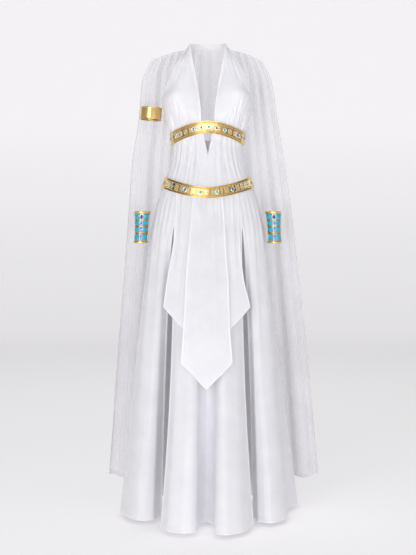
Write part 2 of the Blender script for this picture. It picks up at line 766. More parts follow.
# Hems: a turned edge with a stitch line
HEM_WIDTH = 0.0046
HEM_RISE = 0.0010
HEM_STITCH = 0.0038
HEM_STITCH_WIDTH = 0.0005
HEM_STITCH_DEPTH = 0.0005
HEM_EASE = 0.0010
HEM_STEPS = (0.0006, 0.0018, 0.0030, 0.0034, 0.0038, 0.0042, 0.0046, 0.0056, 0.0080)


def hemmed(field, edges):
    """Relief of the hems along the named edges of a sheet."""
    lift = np.zeros_like(field.u)
    for edge in edges:
        distance = getattr(field, edge)
        rise = HEM_RISE * ease((HEM_WIDTH - distance) / HEM_EASE)
        stitch = HEM_STITCH_DEPTH * np.exp(-((distance - HEM_STITCH) / HEM_STITCH_WIDTH) ** 2)
        lift = np.maximum(lift, rise) - stitch
    return lift


# Creases: from (u_top, v_top) down to (u_low, v_low) on a sheet, half-width and height in metres.
# A positive height is a soft ridge, a negative one a soft trough.
Crease = namedtuple("Crease", "u_top u_low v_top v_low width height")
CREASE_EASE = 0.16


def creased(field, rows):
    """Relief of a sheet's creases, each fading out towards its two ends."""
    lift = np.zeros_like(field.u)
    for row in rows:
        share = (field.v - row.v_top) / (row.v_low - row.v_top)
        line = blend(row.u_top, row.u_low, np.clip(share, 0.0, 1.0))
        above = ease(share / CREASE_EASE) if row.v_top > 0.0 else np.where(share >= 0.0, 1.0, 0.0)
        below = ease((1.0 - share) / (2.0 * CREASE_EASE)) if row.v_low < 1.0 else 1.0
        away = (field.u - line) * field.width
        lift += row.height * above * below * np.exp(-(away / row.width) ** 2)
    return lift


# Fine tucks that spring from an edge: how many, how deep, how far they reach, and where their waves
# start. Waves shift their spacing and change their reach along the sheet.
Tucks = namedtuple("Tucks", "edge count depth reach start")
TUCK_SHIFTS = (Shift(1.7, 19.0, 1.0), Shift(0.9, 47.0, 2.0))
TUCK_REACHES = Shift(0.35, 31.0, 1.0)
TUCK_EASE = 0.004


def tucked(field, tucks):
    """Relief of a sheet's fine tucks, each of its own length."""
    distance = getattr(field, tucks.edge)
    phase = 2.0 * math.pi * tucks.count * field.u
    for shift in TUCK_SHIFTS:
        phase = phase + shift.size * np.sin(field.u * shift.rate + shift.start * tucks.start)
    wave = np.sin(field.u * TUCK_REACHES.rate + TUCK_REACHES.start * tucks.start)
    own_reach = tucks.reach * (1.0 - TUCK_REACHES.size + TUCK_REACHES.size * wave)
    strength = ease(1.0 - distance / own_reach) * ease(distance / TUCK_EASE)
    return -tucks.depth * (0.5 - 0.5 * np.cos(phase)) * strength


# Materials

def add_node(tree, kind, settings=None, links=None):
    """Adds a node, sets its values and properties, and links its inputs."""
    made = tree.nodes.new(kind)
    for name, value in (settings or {}).items():
        if isinstance(name, int) or name in made.inputs:
            made.inputs[name].default_value = value
        else:
            setattr(made, name, value)
    for name, source in (links or {}).items():
        tree.links.new(source, made.inputs[name])
    return made


def principled(name, settings):
    """Makes a material with one Principled shader and returns it with its tree and shader."""
    material = bpy.data.materials.new(name)
    material.use_nodes = True
    tree = material.node_tree
    shader = tree.nodes["Principled BSDF"]
    for socket, value in settings.items():
        shader.inputs[socket].default_value = value
    return material, tree, shader


def threads(tree, spacing, axis):
    """One set of threads across the cloth's own UV map. A wave repeats every 0.314 units at scale 1."""
    uv = add_node(tree, "ShaderNodeUVMap")
    return add_node(tree, "ShaderNodeTexWave", {
        "bands_direction": axis, "Scale": 0.314 / spacing, "Distortion": 0.6, "Detail": 1.0,
        "Detail Scale": 2.0}, {"Vector": uv.outputs["UV"]})


def grains(tree, size, detail=3.0):
    """Noise on the object's own coordinates, with one lump each size in metres."""
    place = add_node(tree, "ShaderNodeTexCoord")
    return add_node(tree, "ShaderNodeTexNoise", {"Scale": 1.0 / size, "Detail": detail},
                    {"Vector": place.outputs["Object"]})


def tint(tree, shader, source, low, high, begin=0.35, end=0.65):
    """Colours the shader between two tones by a source from 0 to 1."""
    ramp = add_node(tree, "ShaderNodeValToRGB", links={"Fac": source})
    ramp.color_ramp.elements[0].position = begin
    ramp.color_ramp.elements[1].position = min(end, 1.0)
    ramp.color_ramp.elements[0].color = (*low, 1.0)
    ramp.color_ramp.elements[1].color = (*high, 1.0)
    tree.links.new(ramp.outputs["Color"], shader.inputs["Base Color"])
    return ramp


def bumps(tree, shader, sources):
    """Chains bump nodes, each with its source, its height in metres and its strength."""
    normal = None
    for source, height, strength in sources:
        links = {"Height": source}
        if normal:
            links["Normal"] = normal
        made = add_node(tree, "ShaderNodeBump", {"Distance": height, "Strength": strength}, links)
        normal = made.outputs["Normal"]
    tree.links.new(normal, shader.inputs["Normal"])


# Real crepe has about 30 threads a centimetre. They are drawn further apart, so that they show.
CREPE_THREAD_SPACING = 0.0012
CHIFFON_THREAD_SPACING = 0.0014


def crepe_material(settings):
    """Polyester crepe, woven from twisted yarn: a dry, soft white with a fine pebbled grain."""
    material, tree, shader = principled("White crepe, woven", {
        "Roughness": 0.78, "Sheen Weight": 0.12, "Sheen Roughness": 0.5, "Specular IOR Level": 0.25,
        "Subsurface Weight": 0.45, "Subsurface Scale": 0.005,
        "Subsurface Radius": (1.0, 0.95, 0.90)})
    mottle = grains(tree, 0.060)
    hem = add_node(tree, "ShaderNodeAttribute", {"attribute_name": "hem"})
    tone = add_node(tree, "ShaderNodeMath", {"operation": "MULTIPLY_ADD", 1: 0.5},
                    {0: mottle.outputs["Fac"], 2: hem.outputs["Fac"]})
    ramp = tint(tree, shader, tone.outputs["Value"], settings.cloth_shade, settings.cloth_colour,
                0.17, 0.33)
    ramp.color_ramp.elements.new(0.9).color = (*settings.hem_colour, 1.0)
    warp = threads(tree, CREPE_THREAD_SPACING, "X")
    weft = threads(tree, CREPE_THREAD_SPACING, "Y")
    pebble = grains(tree, 0.0022, 2.0)
    crinkle = grains(tree, 0.022, 4.0)
    bumps(tree, shader, ((crinkle.outputs["Fac"], 0.0016, 0.35), (pebble.outputs["Fac"], 0.0004, 0.35),
                         (warp.outputs["Fac"], 0.00015, 0.3), (weft.outputs["Fac"], 0.00015, 0.3)))
    return material


def chiffon_material(settings):
    """Silk-like chiffon, an open plain weave: sheer, and denser where a fold gathers more threads."""
    material, tree, shader = principled("White chiffon, open weave", {
        "Roughness": 0.85, "Sheen Weight": 0.15, "Specular IOR Level": 0.2})
    density = add_node(tree, "ShaderNodeAttribute", {"attribute_name": "tone"})
    cover = add_node(tree, "ShaderNodeMapRange", {
        "To Min": settings.cape_cover, "To Max": settings.cape_fold_cover},
        {"Value": density.outputs["Fac"]})
    tree.links.new(cover.outputs["Result"], shader.inputs["Alpha"])
    mottle = grains(tree, 0.080)
    tint(tree, shader, mottle.outputs["Fac"], settings.cape_shade, settings.cape_colour)
    warp = threads(tree, CHIFFON_THREAD_SPACING, "X")
    weft = threads(tree, CHIFFON_THREAD_SPACING, "Y")
    bumps(tree, shader, ((warp.outputs["Fac"], 0.00005, 0.1), (weft.outputs["Fac"], 0.00005, 0.1)))
    return material


def gilt_material(name, colour, shade, roughness, dents):
    """Gilt metal, stamped and polished: warm sharp reflections, with a darker tone in its recesses."""
    material, tree, shader = principled(name, {"Metallic": 1.0, "Roughness": roughness})
    tone = add_node(tree, "ShaderNodeAttribute", {"attribute_name": "tone"})
    wear = grains(tree, 0.005, 4.0)
    mixed = add_node(tree, "ShaderNodeMath", {"operation": "MULTIPLY_ADD", 1: 0.35},
                     {0: wear.outputs["Fac"], 2: tone.outputs["Fac"]})
    tint(tree, shader, mixed.outputs["Value"], colour, shade, 0.30, 1.1)
    hammer = grains(tree, 0.004, 2.0)
    scratch = grains(tree, 0.0011, 1.0)
    bumps(tree, shader, ((hammer.outputs["Fac"], dents, 0.5), (scratch.outputs["Fac"], 0.00004, 0.3)))
    return material


def stone_material(name, low, high):
    """Cut glass on foil: a deep clear colour under a hard, glossy face."""
    material, tree, shader = principled(name, {
        "Roughness": 0.12, "Coat Weight": 0.35, "Coat Roughness": 0.05, "IOR": 1.50,
        "Specular IOR Level": 0.35})
    depth = grains(tree, 0.0035, 1.0)
    tint(tree, shader, depth.outputs["Fac"], low, high)
    return material


def enamel_material(settings):
    """Vitreous enamel, fired in cells: an even turquoise that thins towards the metal's edge."""
    material, tree, shader = principled("Turquoise enamel, fired", {
        "Roughness": 0.22, "Coat Weight": 0.6, "Coat Roughness": 0.08, "IOR": 1.5})
    cloud = grains(tree, 0.006, 3.0)
    tint(tree, shader, cloud.outputs["Fac"], settings.enamel_shade, settings.enamel_colour)
    ripple = grains(tree, 0.004, 2.0)
    bumps(tree, shader, ((ripple.outputs["Fac"], 0.0003, 0.3),))
    return material


def dress(piece, material, slot, *nodes):
    """Gives a piece its one material, hangs it on the root body and hides the solids it replaces."""
    piece.data.materials.clear()
    piece.data.materials.append(material)
    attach(piece, "root")
    if nodes:
        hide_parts(*nodes)


# Materials that are already made, by their short names
MADE = {}


def material_of(kind):
    """Returns a material by its short name, and makes it the first time."""
    settings = bpy.context.scene.costume
    makers = {
        "crepe": lambda: crepe_material(settings),
        "chiffon": lambda: chiffon_material(settings),
        "gilt": lambda: gilt_material("Gilt brass, stamped", settings.gold_colour, settings.gold_shade,
                                      0.20, 0.0004),
        "pale_gilt": lambda: gilt_material("Gilt brass, bright cut", settings.bright_colour,
                                           settings.gold_colour, 0.26, 0.0001),
        "champagne": lambda: gilt_material("Champagne gilt, satin", settings.champagne_colour,
                                           settings.bright_colour, 0.34, 0.0001),
        "mirror_gilt": lambda: gilt_material("Gilt brass, mirror polished", settings.gold_colour,
                                             settings.gold_shade, 0.06, 0.00005),
        "dark": lambda: stone_material("Black cut glass", settings.dark_shade, settings.dark_colour),
        "blue": lambda: stone_material("Blue cut glass", settings.blue_shade, settings.blue_colour),
        "turquoise": lambda: stone_material("Turquoise cut glass", settings.aqua_shade,
                                            settings.aqua_colour),
        "enamel": lambda: enamel_material(settings),
    }
    if kind not in MADE:
        MADE[kind] = makers[kind]()
    return MADE[kind]


# Gown pieces

# Creases of each panel, top to bottom. On the hidden back they are like those that show in front.
BODICE_CREASES = (
    Crease(0.130, 0.150, 0.00, 1.00, 0.0032, -0.0029),
    Crease(0.220, 0.210, 0.00, 1.00, 0.0031, -0.0041),
    Crease(0.250, 0.245, 0.10, 0.90, 0.0031, 0.0029),
    Crease(0.287, 0.285, 0.00, 0.90, 0.0027, -0.0037),
    Crease(0.341, 0.345, 0.00, 1.00, 0.0027, -0.0044),
    Crease(0.372, 0.375, 0.00, 0.85, 0.0025, -0.0032),
    Crease(0.400, 0.405, 0.00, 1.00, 0.0031, 0.0029),
    Crease(0.426, 0.432, 0.15, 1.00, 0.0027, -0.0029),
    Crease(0.590, 0.560, 0.10, 1.00, 0.0031, -0.0030),
    Crease(0.612, 0.590, 0.10, 1.00, 0.0027, 0.0022),
    Crease(0.638, 0.663, 0.00, 1.00, 0.0027, -0.0036),
    Crease(0.685, 0.700, 0.00, 0.80, 0.0025, -0.0030),
    Crease(0.712, 0.730, 0.00, 1.00, 0.0029, 0.0024),
    Crease(0.742, 0.763, 0.00, 1.00, 0.0027, -0.0034),
    Crease(0.806, 0.810, 0.00, 0.90, 0.0029, -0.0026),
    Crease(0.870, 0.860, 0.00, 1.00, 0.0032, -0.0022),
)
BACK_CREASES = (
    Crease(0.07, 0.10, 0.00, 1.00, 0.0050, -0.0022),
    Crease(0.16, 0.19, 0.05, 1.00, 0.0045, 0.0018),
    Crease(0.24, 0.27, 0.10, 1.00, 0.0040, -0.0024),
    Crease(0.33, 0.34, 0.00, 0.90, 0.0050, -0.0020),
    Crease(0.41, 0.42, 0.00, 1.00, 0.0042, 0.0020),
    Crease(0.49, 0.485, 0.05, 1.00, 0.0045, -0.0026),
    Crease(0.57, 0.56, 0.00, 0.90, 0.0040, 0.0018),
    Crease(0.65, 0.63, 0.10, 1.00, 0.0048, -0.0022),
    Crease(0.74, 0.71, 0.05, 1.00, 0.0042, 0.0020),
    Crease(0.83, 0.79, 0.00, 1.00, 0.0045, -0.0024),
    Crease(0.92, 0.88, 0.00, 1.00, 0.0050, -0.0018),
)
CUP_CREASES = (
    Crease(0.100, 0.040, 0.04, 0.70, 0.0031, -0.0026),
    Crease(0.360, 0.300, 0.02, 0.44, 0.0032, -0.0034),
    Crease(0.550, 0.560, 0.02, 0.56, 0.0031, -0.0041),
    Crease(0.640, 0.660, 0.02, 0.62, 0.0027, 0.0030),
    Crease(0.720, 0.760, 0.02, 0.70, 0.0031, -0.0049),
    Crease(0.820, 0.850, 0.04, 0.76, 0.0027, 0.0034),
    Crease(0.900, 0.920, 0.06, 0.84, 0.0029, -0.0041),
    Crease(0.220, 0.190, 0.84, 1.00, 0.0025, -0.0034),
    Crease(0.330, 0.290, 0.78, 1.00, 0.0027, -0.0041),
    Crease(0.430, 0.390, 0.74, 1.00, 0.0025, -0.0049),
    Crease(0.500, 0.455, 0.80, 1.00, 0.0023, 0.0030),
    Crease(0.570, 0.520, 0.70, 1.00, 0.0027, -0.0052),
    Crease(0.660, 0.610, 0.76, 1.00, 0.0025, -0.0045),
    Crease(0.730, 0.680, 0.74, 1.00, 0.0023, 0.0030),
    Crease(0.790, 0.750, 0.70, 1.00, 0.0027, -0.0052),
    Crease(0.880, 0.840, 0.76, 1.00, 0.0027, -0.0045),
)
FRONT_CREASES = (
    Crease(0.080, 0.090, 0.30, 1.00, 0.0162, 0.0013),
    Crease(0.200, 0.190, 0.25, 1.00, 0.0216, -0.0017),
    Crease(0.300, 0.310, 0.35, 1.00, 0.0144, 0.0012),
    Crease(0.415, 0.410, 0.30, 1.00, 0.0108, -0.0014),
    Crease(0.600, 0.605, 0.30, 1.00, 0.0108, -0.0014),
    Crease(0.680, 0.680, 0.30, 1.00, 0.0162, 0.0014),
    Crease(0.800, 0.790, 0.25, 1.00, 0.0234, -0.0018),
    Crease(0.920, 0.930, 0.35, 1.00, 0.0162, 0.0012),
)
SIDE_CREASES = (
    Crease(0.08, 0.10, 0.02, 0.24, 0.0040, -0.0022),
    Crease(0.140, 0.200, 0.04, 0.80, 0.0119, -0.0017),
    Crease(0.24, 0.22, 0.02, 0.20, 0.0036, -0.0024),
    Crease(0.300, 0.330, 0.03, 1.00, 0.0136, 0.0016),
    Crease(0.38, 0.41, 0.02, 0.30, 0.0040, -0.0026),
    Crease(0.470, 0.490, 0.04, 0.90, 0.0153, -0.0020),
    Crease(0.56, 0.56, 0.02, 0.22, 0.0040, -0.0022),
    Crease(0.640, 0.620, 0.03, 0.70, 0.0119, 0.0014),
    Crease(0.790, 0.810, 0.05, 1.00, 0.0170, -0.0019),
)
SKIRT_BACK_CREASES = (
    Crease(0.050, 0.060, 0.04, 0.90, 0.0128, -0.0021),
    Crease(0.150, 0.140, 0.03, 1.00, 0.0160, 0.0022),
    Crease(0.260, 0.270, 0.05, 0.80, 0.0144, -0.0024),
    Crease(0.370, 0.360, 0.03, 1.00, 0.0176, 0.0021),
    Crease(0.480, 0.490, 0.04, 0.90, 0.0144, -0.0022),
    Crease(0.590, 0.580, 0.05, 1.00, 0.0192, -0.0027),
    Crease(0.700, 0.710, 0.03, 0.80, 0.0144, 0.0022),
    Crease(0.820, 0.810, 0.04, 1.00, 0.0160, -0.0021),
    Crease(0.930, 0.940, 0.05, 0.90, 0.0128, 0.0019),
)
PLEAT_CREASES = (
    Crease(0.12, 0.13, 0.00, 0.10, 0.0030, -0.0020),
    Crease(0.25, 0.26, 0.00, 0.16, 0.0030, -0.0024),
    Crease(0.35, 0.36, 0.00, 0.12, 0.0026, -0.0024),
    Crease(0.41, 0.43, 0.00, 0.34, 0.0044, 0.0018),
    Crease(0.47, 0.46, 0.00, 0.22, 0.0028, -0.0028),
    Crease(0.54, 0.53, 0.00, 0.10, 0.0026, -0.0020),
    Crease(0.62, 0.60, 0.00, 0.46, 0.0050, -0.0018),
    Crease(0.73, 0.72, 0.00, 0.14, 0.0028, -0.0026),
    Crease(0.83, 0.83, 0.00, 0.20, 0.0030, -0.0024),
    Crease(0.30, 0.33, 0.10, 0.80, 0.0080, -0.0014),
    Crease(0.72, 0.70, 0.14, 0.90, 0.0080, 0.0016),
)
WING_CREASES = (
    Crease(0.18, 0.20, 0.00, 0.20, 0.0030, -0.0022),
    Crease(0.30, 0.30, 0.02, 0.80, 0.0060, 0.0018),
    Crease(0.42, 0.42, 0.00, 0.26, 0.0030, -0.0026),
    Crease(0.62, 0.60, 0.00, 0.16, 0.0028, -0.0022),
    Crease(0.55, 0.52, 0.10, 0.92, 0.0070, -0.0018),
    Crease(0.82, 0.84, 0.00, 0.30, 0.0034, -0.0022),
)
CAPE_CREASES = (
    Crease(0.040, 0.030, 0.10, 1.00, 0.0156, 0.0024),
    Crease(0.100, 0.080, 0.06, 1.00, 0.0182, -0.0030),
    Crease(0.170, 0.150, 0.06, 0.95, 0.0156, 0.0024),
    Crease(0.250, 0.240, 0.05, 1.00, 0.0182, -0.0027),
    Crease(0.340, 0.330, 0.04, 0.90, 0.0169, 0.0025),
    Crease(0.430, 0.440, 0.04, 1.00, 0.0182, -0.0027),
    Crease(0.520, 0.510, 0.04, 1.00, 0.0156, 0.0024),
    Crease(0.600, 0.610, 0.04, 0.95, 0.0195, -0.0030),
    Crease(0.690, 0.700, 0.05, 1.00, 0.0169, 0.0025),
    Crease(0.780, 0.790, 0.05, 0.90, 0.0156, -0.0025),
    Crease(0.870, 0.880, 0.06, 1.00, 0.0182, 0.0028),
    Crease(0.940, 0.960, 0.08, 1.00, 0.0143, -0.0024),
)

# Cut of each cloth piece before it is gathered: width and length in metres, and the share of that
# rectangle that the pattern piece covers
Cut = namedtuple("Cut", "width length cover held hangs_from")

# Steps of each cloth grid across and down, and the lengths that its hems' extra steps are measured on
Grid = namedtuple("Grid", "across down width length")
GRIDS = {
    "cup": Grid(44, 86, 0.100, 0.300),
    "neck_band": Grid(64, 18, 0.165, 0.026),
    "bodice_front": Grid(76, 56, 0.400, 0.170),
    "bodice_back": Grid(150, 50, 0.360, 0.130),
    "skirt_front": Grid(110, 96, 0.500, 1.000),
    "skirt_side": Grid(64, 96, 0.200, 1.000),
    "skirt_back": Grid(260, 96, 1.250, 1.000),
    "overlay_pleat": Grid(56, 76, 0.110, 0.520),
    "overlay_wing": Grid(34, 56, 0.065, 0.350),
    "cape": Grid(170, 90, 0.700, 1.350),
    "belt_back": Grid(120, 8, 0.385, 0.034),
}
KEYHOLE_STEPS = 20
CAPE_NECK_STEPS = 16
CAPE_NECK_SHARE = 0.10


def cloth_piece(node, across, down, surface, relief, hems=(), kind="crepe", slot="white_crepe",
                density=None):
    """Makes one cloth piece on its solid's form and states the cut that it was sewn from."""
    settings = bpy.context.scene.costume
    thickness = settings.chiffon_thickness if kind == "chiffon" else settings.cloth_thickness
    piece = grid_sheet(node + "_cloth", across, down, surface, relief, thickness, density, hems)
    dress(piece, material_of(kind), slot, node)
    return piece


def turned(field):
    """The same field seen from the other side, for a mirrored panel."""
    return field._replace(u=1.0 - field.u)


TUCKS = {
    "bodice_low": Tucks("bottom", 34, 0.0012, 0.045, 1.0),
    "bodice_top": Tucks("top", 30, 0.0012, 0.040, 2.0),
    "bodice_back": Tucks("bottom", 30, 0.0012, 0.050, 3.0),
    "cup": Tucks("bottom", 16, 0.0014, 0.060, 4.0),
    "skirt_front": Tucks("top", 30, 0.0012, 0.20, 5.0),
    "skirt_side_right": Tucks("top", 16, 0.0014, 0.24, 6.0),
    "skirt_side_left": Tucks("top", 16, 0.0014, 0.24, 7.0),
    "skirt_back": Tucks("top", 54, 0.0014, 0.26, 8.0),
    "overlay_pleat": Tucks("top", 11, 0.0012, 0.16, 9.0),
    "cape": Tucks("top", 26, 0.0024, 0.16, 10.0),
}
SIDE_SEAM_FADE = 0.010
CUP_EDGE_FADE = 0.012
CAPE_TOP_FADE = 0.02
SLIT_FADE = 0.02

# Share of a skirt panel's length above its slit, which is sewn to its neighbour and has no hem
SLIT_SHARE = 0.105
KEYHOLE_SLANT = 0.24
NECK_RIDGES = 3
NECK_RIDGE_HEIGHT = 0.0008


def slit_hems(field, edges):
    """Hems along the slits and the bottom. The slits' hems start below the seam."""
    slits = hemmed(field, [edge for edge in edges if edge != "bottom"])
    return slits * ease((field.v - SLIT_SHARE) / SLIT_FADE) + hemmed(field, ["bottom"])


def bodice_front_relief(field):
    """Gathers between the bands, and the keyhole's hem along its slanted edges."""
    centre = np.abs(torso_width(field.u)) < KEYHOLE_HALF_WIDTH
    hole = field._replace(top=field.top * KEYHOLE_SLANT)
    lift = creased(field, BODICE_CREASES) + tucked(field, TUCKS["bodice_low"])
    lift = lift + np.where(centre, 0.0, tucked(field, TUCKS["bodice_top"]))
    return lift * seam_fade(field) + np.where(centre, hemmed(hole, ["top"]), 0.0)


def torso_width(u):
    """Distance from the centre line along the bodice's front at the keyhole."""
    ring = read(TORSO_RINGS, KEYHOLE_TOP)
    return ring.half_width * np.sin(np.pi * (u - 0.5))


def seam_fade(field):
    """Fades relief to nothing at the side seams."""
    return ease(field.left / SIDE_SEAM_FADE) * ease(field.right / SIDE_SEAM_FADE)


def bodice_back_relief(field):
    """Creases of the low back and a hem along its upper edge."""
    lift = creased(field, BACK_CREASES) + tucked(field, TUCKS["bodice_back"])
    return lift * seam_fade(field) + hemmed(field, ["top"])


def cup_relief(field):
    """Creases that fan out from the strap and from the band, and a hem along both edges."""
    lift = creased(field, CUP_CREASES) + tucked(field, TUCKS["cup"])
    fade = ease(field.left / CUP_EDGE_FADE) * ease(field.right / CUP_EDGE_FADE)
    return lift * fade + hemmed(field, ["left", "right"])


def left_cup_relief(field):
    """The cup's relief, mirrored."""
    return cup_relief(turned(field))


def neck_relief(field):
    """Soft ridges along the neck band."""
    return NECK_RIDGE_HEIGHT * np.sin(np.pi * NECK_RIDGES * field.v) ** 2


def skirt_front_relief(field):
    """Broad soft folds, tucks under the belt, and hems along both slits."""
    lift = creased(field, FRONT_CREASES) + tucked(field, TUCKS["skirt_front"])
    return lift * seam_fade(field) + slit_hems(field, ["left", "right"])


def side_right_relief(field):
    """Folds of the side panel on the viewer's right, with its slit on its left."""
    lift = creased(field, SIDE_CREASES) + tucked(field, TUCKS["skirt_side_right"])
    return lift * seam_fade(field) + slit_hems(field, ["left"])


def side_left_relief(field):
    """Folds of the other side panel, mirrored."""
    lift = creased(turned(field), SIDE_CREASES) + tucked(field, TUCKS["skirt_side_left"])
    return lift * seam_fade(field) + slit_hems(field, ["right"])


def skirt_back_relief(field):
    """Folds of the skirt's back and its bottom hem."""
    lift = creased(field, SKIRT_BACK_CREASES) + tucked(field, TUCKS["skirt_back"])
    return lift * seam_fade(field) + hemmed(field, ["bottom"])


def pleat_relief(field):
    """Folds of the pointed pleat and its hems."""
    lift = creased(field, PLEAT_CREASES) + tucked(field, TUCKS["overlay_pleat"])
    return lift * seam_fade(field) + hemmed(field, ["left", "right", "bottom"])


def wing_right_relief(field):
    """Folds of the wing on the viewer's right, mirrored, and its hems."""
    return creased(turned(field), WING_CREASES) * seam_fade(field) + hemmed(field, ["right", "bottom"])


def wing_left_relief(field):
    """Folds of the other wing and its hems."""
    return creased(field, WING_CREASES) * seam_fade(field) + hemmed(field, ["left", "bottom"])


def cape_relief(field):
    """Long folds of the cape, its gathers at the neck and its hems."""
    lift = creased(field, CAPE_CREASES) + tucked(field, TUCKS["cape"])
    return lift * ease(field.top / CAPE_TOP_FADE) + hemmed(field, ["left", "right", "bottom"])


def make_cups():
    """The two halter cups and the band behind the neck."""
    grid = GRIDS["cup"]
    across = dense_ends(grid.across, grid.width, True, True)
    down = steps(0.0, CUP_BAND_SHARE, grid.down) + [1.0]
    cloth_piece("cup_right", across, down, cup, cup_relief, ["left", "right"])
    cloth_piece("cup_left", across, down, left_cup, left_cup_relief, ["left", "right"])
    grid = GRIDS["neck_band"]
    cloth_piece("neck_band", steps(0.0, 1.0, grid.across), steps(0.0, 1.0, grid.down), neck_band,
                neck_relief)


def make_bodice():
    """Front and back of the bodice. The front has extra steps across its keyhole."""
    grid = GRIDS["bodice_front"]
    keyhole = math.asin(KEYHOLE_HALF_WIDTH / read(TORSO_RINGS, KEYHOLE_TOP).half_width) / math.pi
    across = steps(0.0, 0.5 - keyhole, grid.across)
    across += steps(0.5 - keyhole, 0.5 + keyhole, KEYHOLE_STEPS)[1:-1]
    across += steps(0.5 + keyhole, 1.0, grid.across)
    cloth_piece("bodice_front", across, steps(0.0, 1.0, grid.down), bodice_front, bodice_front_relief)
    grid = GRIDS["bodice_back"]
    cloth_piece("bodice_back", steps(0.0, 1.0, grid.across),
                dense_ends(grid.down, grid.length, True, False), bodice_back, bodice_back_relief, ["top"])


def make_skirt():
    """The skirt's front, its two side panels and its back."""
    front = GRIDS["skirt_front"]
    side = GRIDS["skirt_side"]
    down = dense_ends(front.down, front.length, False, True)
    cloth_piece("skirt_front", dense_ends(front.across, front.width, True, True), down, front_panel,
                skirt_front_relief, ["left", "right", "bottom"])
    cloth_piece("skirt_side_right", dense_ends(side.across, side.width, True, False), down,
                skirt_panel(SLIT_ANGLE, 90.0), side_right_relief, ["left", "bottom"])
    cloth_piece("skirt_side_left", dense_ends(side.across, side.width, False, True), down,
                skirt_panel(270.0, 360.0 - SLIT_ANGLE), side_left_relief, ["right", "bottom"])
    cloth_piece("skirt_back", steps(0.0, 1.0, GRIDS["skirt_back"].across), down,
                skirt_panel(90.0, 270.0), skirt_back_relief, ["bottom"])


def make_overlay():
    """The pointed pleat and the two wings behind it."""
    pleat = GRIDS["overlay_pleat"]
    wing = GRIDS["overlay_wing"]
    cloth_piece("overlay_pleat", dense_ends(pleat.across, pleat.width, True, True),
                dense_ends(pleat.down, pleat.length, False, True), overlay_pleat, pleat_relief,
                ["left", "right", "bottom"])
    down = dense_ends(wing.down, wing.length, False, True)
    cloth_piece("overlay_wing_left", dense_ends(wing.across, wing.width, True, False), down, left_wing,
                wing_left_relief, ["left", "bottom"])
    cloth_piece("overlay_wing_right", dense_ends(wing.across, wing.width, False, True), down, right_wing,
                wing_right_relief, ["right", "bottom"])


CAPE_HEM_SHARE = 0.008
CAPE_HEM_EDGE = 0.006
CAPE_DENSITY = Shift(0.45, 9.0, 1.0)


def cape_density(u, v):
    """How much the cape's threads gather: most on the flanks of its folds and in its hems."""
    if v > 1.0 - CAPE_HEM_SHARE or min(u, 1.0 - u) < CAPE_HEM_EDGE:
        return 1.0
    change = CAPE_DENSITY
    depth = 1.0 - change.size + change.size * math.sin(change.rate * u + change.start)
    return math.sin(cape_turn(u)) ** 4 * depth


def make_cape():
    """The sheer cape, with extra rows where it gathers at the neck."""
    grid = GRIDS["cape"]
    rows = set(steps(0.0, CAPE_NECK_SHARE, CAPE_NECK_STEPS))
    rows |= set(dense_ends(grid.down, grid.length, False, True))
    cloth_piece("cape", dense_ends(grid.across, grid.width, True, True), sorted(rows), cape, cape_relief, (),
                "chiffon", "white_chiffon", cape_density)


def make_belt_back():
    """Plain cloth band that joins the gold belt's ends round the back, with a stitched fold each side."""
    grid = GRIDS["belt_back"]
    place = on_trim(BELT_LINE)
    half = BELT_LINE.half_height

    def surface(u, v):
        angle = blend(180.0 - TRIM_END_ANGLE, 180.0 + TRIM_END_ANGLE, u)
        return place(angle, BELT_BACK_OUT - HEM_RISE, blend(half, -half, v))

    def relief(field):
        return hemmed(field, ["top", "bottom"])
    cloth_piece("belt_back", steps(0.0, 1.0, grid.across), dense_ends(grid.down, 2.0 * half, True, True),
                surface, relief)


# Gold bands

BAND_FLOOR = 0.0019
BAND_FOOT = 0.0002
BAND_METAL = 0.0010
BAND_STEPS = 130
PLATE_STEPS = 22
PLATE_ROUND = 1.2
PLATE_ROUND_DEPTH = 0.0012
CHANNEL_DEPTH = 0.0014
FIELD_EDGE = 0.0003

# Profile of a rim from its outer edge in to the sunk field: depth under the rim's top, place from the edge
Profile = namedtuple("Profile", "depth inset")
RIM_PROFILE = (
    Profile(0.0007, 0.0),
    Profile(0.0, 0.0004),
    Profile(0.0, 0.0011),
    Profile(0.0011, 0.0017),
    Profile(CHANNEL_DEPTH, 0.0027),
    Profile(0.0006, 0.0040),
    Profile(0.0, RIM_HEIGHT - 0.0011),
    Profile(0.0, RIM_HEIGHT - 0.0004),
    Profile(0.0006, RIM_HEIGHT),
)
# Tones of a recess in the middle of a band and at its sides, and the angles between which it darkens
Recess = namedtuple("Recess", "middle side")
FIELD_TONE = Recess(0.30, 0.75)
CHANNEL_TONE = Recess(0.45, 1.0)
TONE_START = 16.0
TONE_REACH = 22.0


def band_outline(half):
    """Outline of a stamped band as (out, up), from its upper edge to its lower edge.

    Each rim is a channel between two rounded lines, and the field is sunk between the rims.
    """
    inner = half - RIM_HEIGHT
    upper = [(BAND_FOOT, half)]
    upper += [(RIM_OUT - row.depth, half - row.inset) for row in RIM_PROFILE]
    upper += [(BAND_FLOOR, inner - FIELD_EDGE), (BAND_FLOOR, 0.5 * inner)]
    return upper + [(BAND_FLOOR, 0.0)] + [(out, -up) for out, up in reversed(upper)]


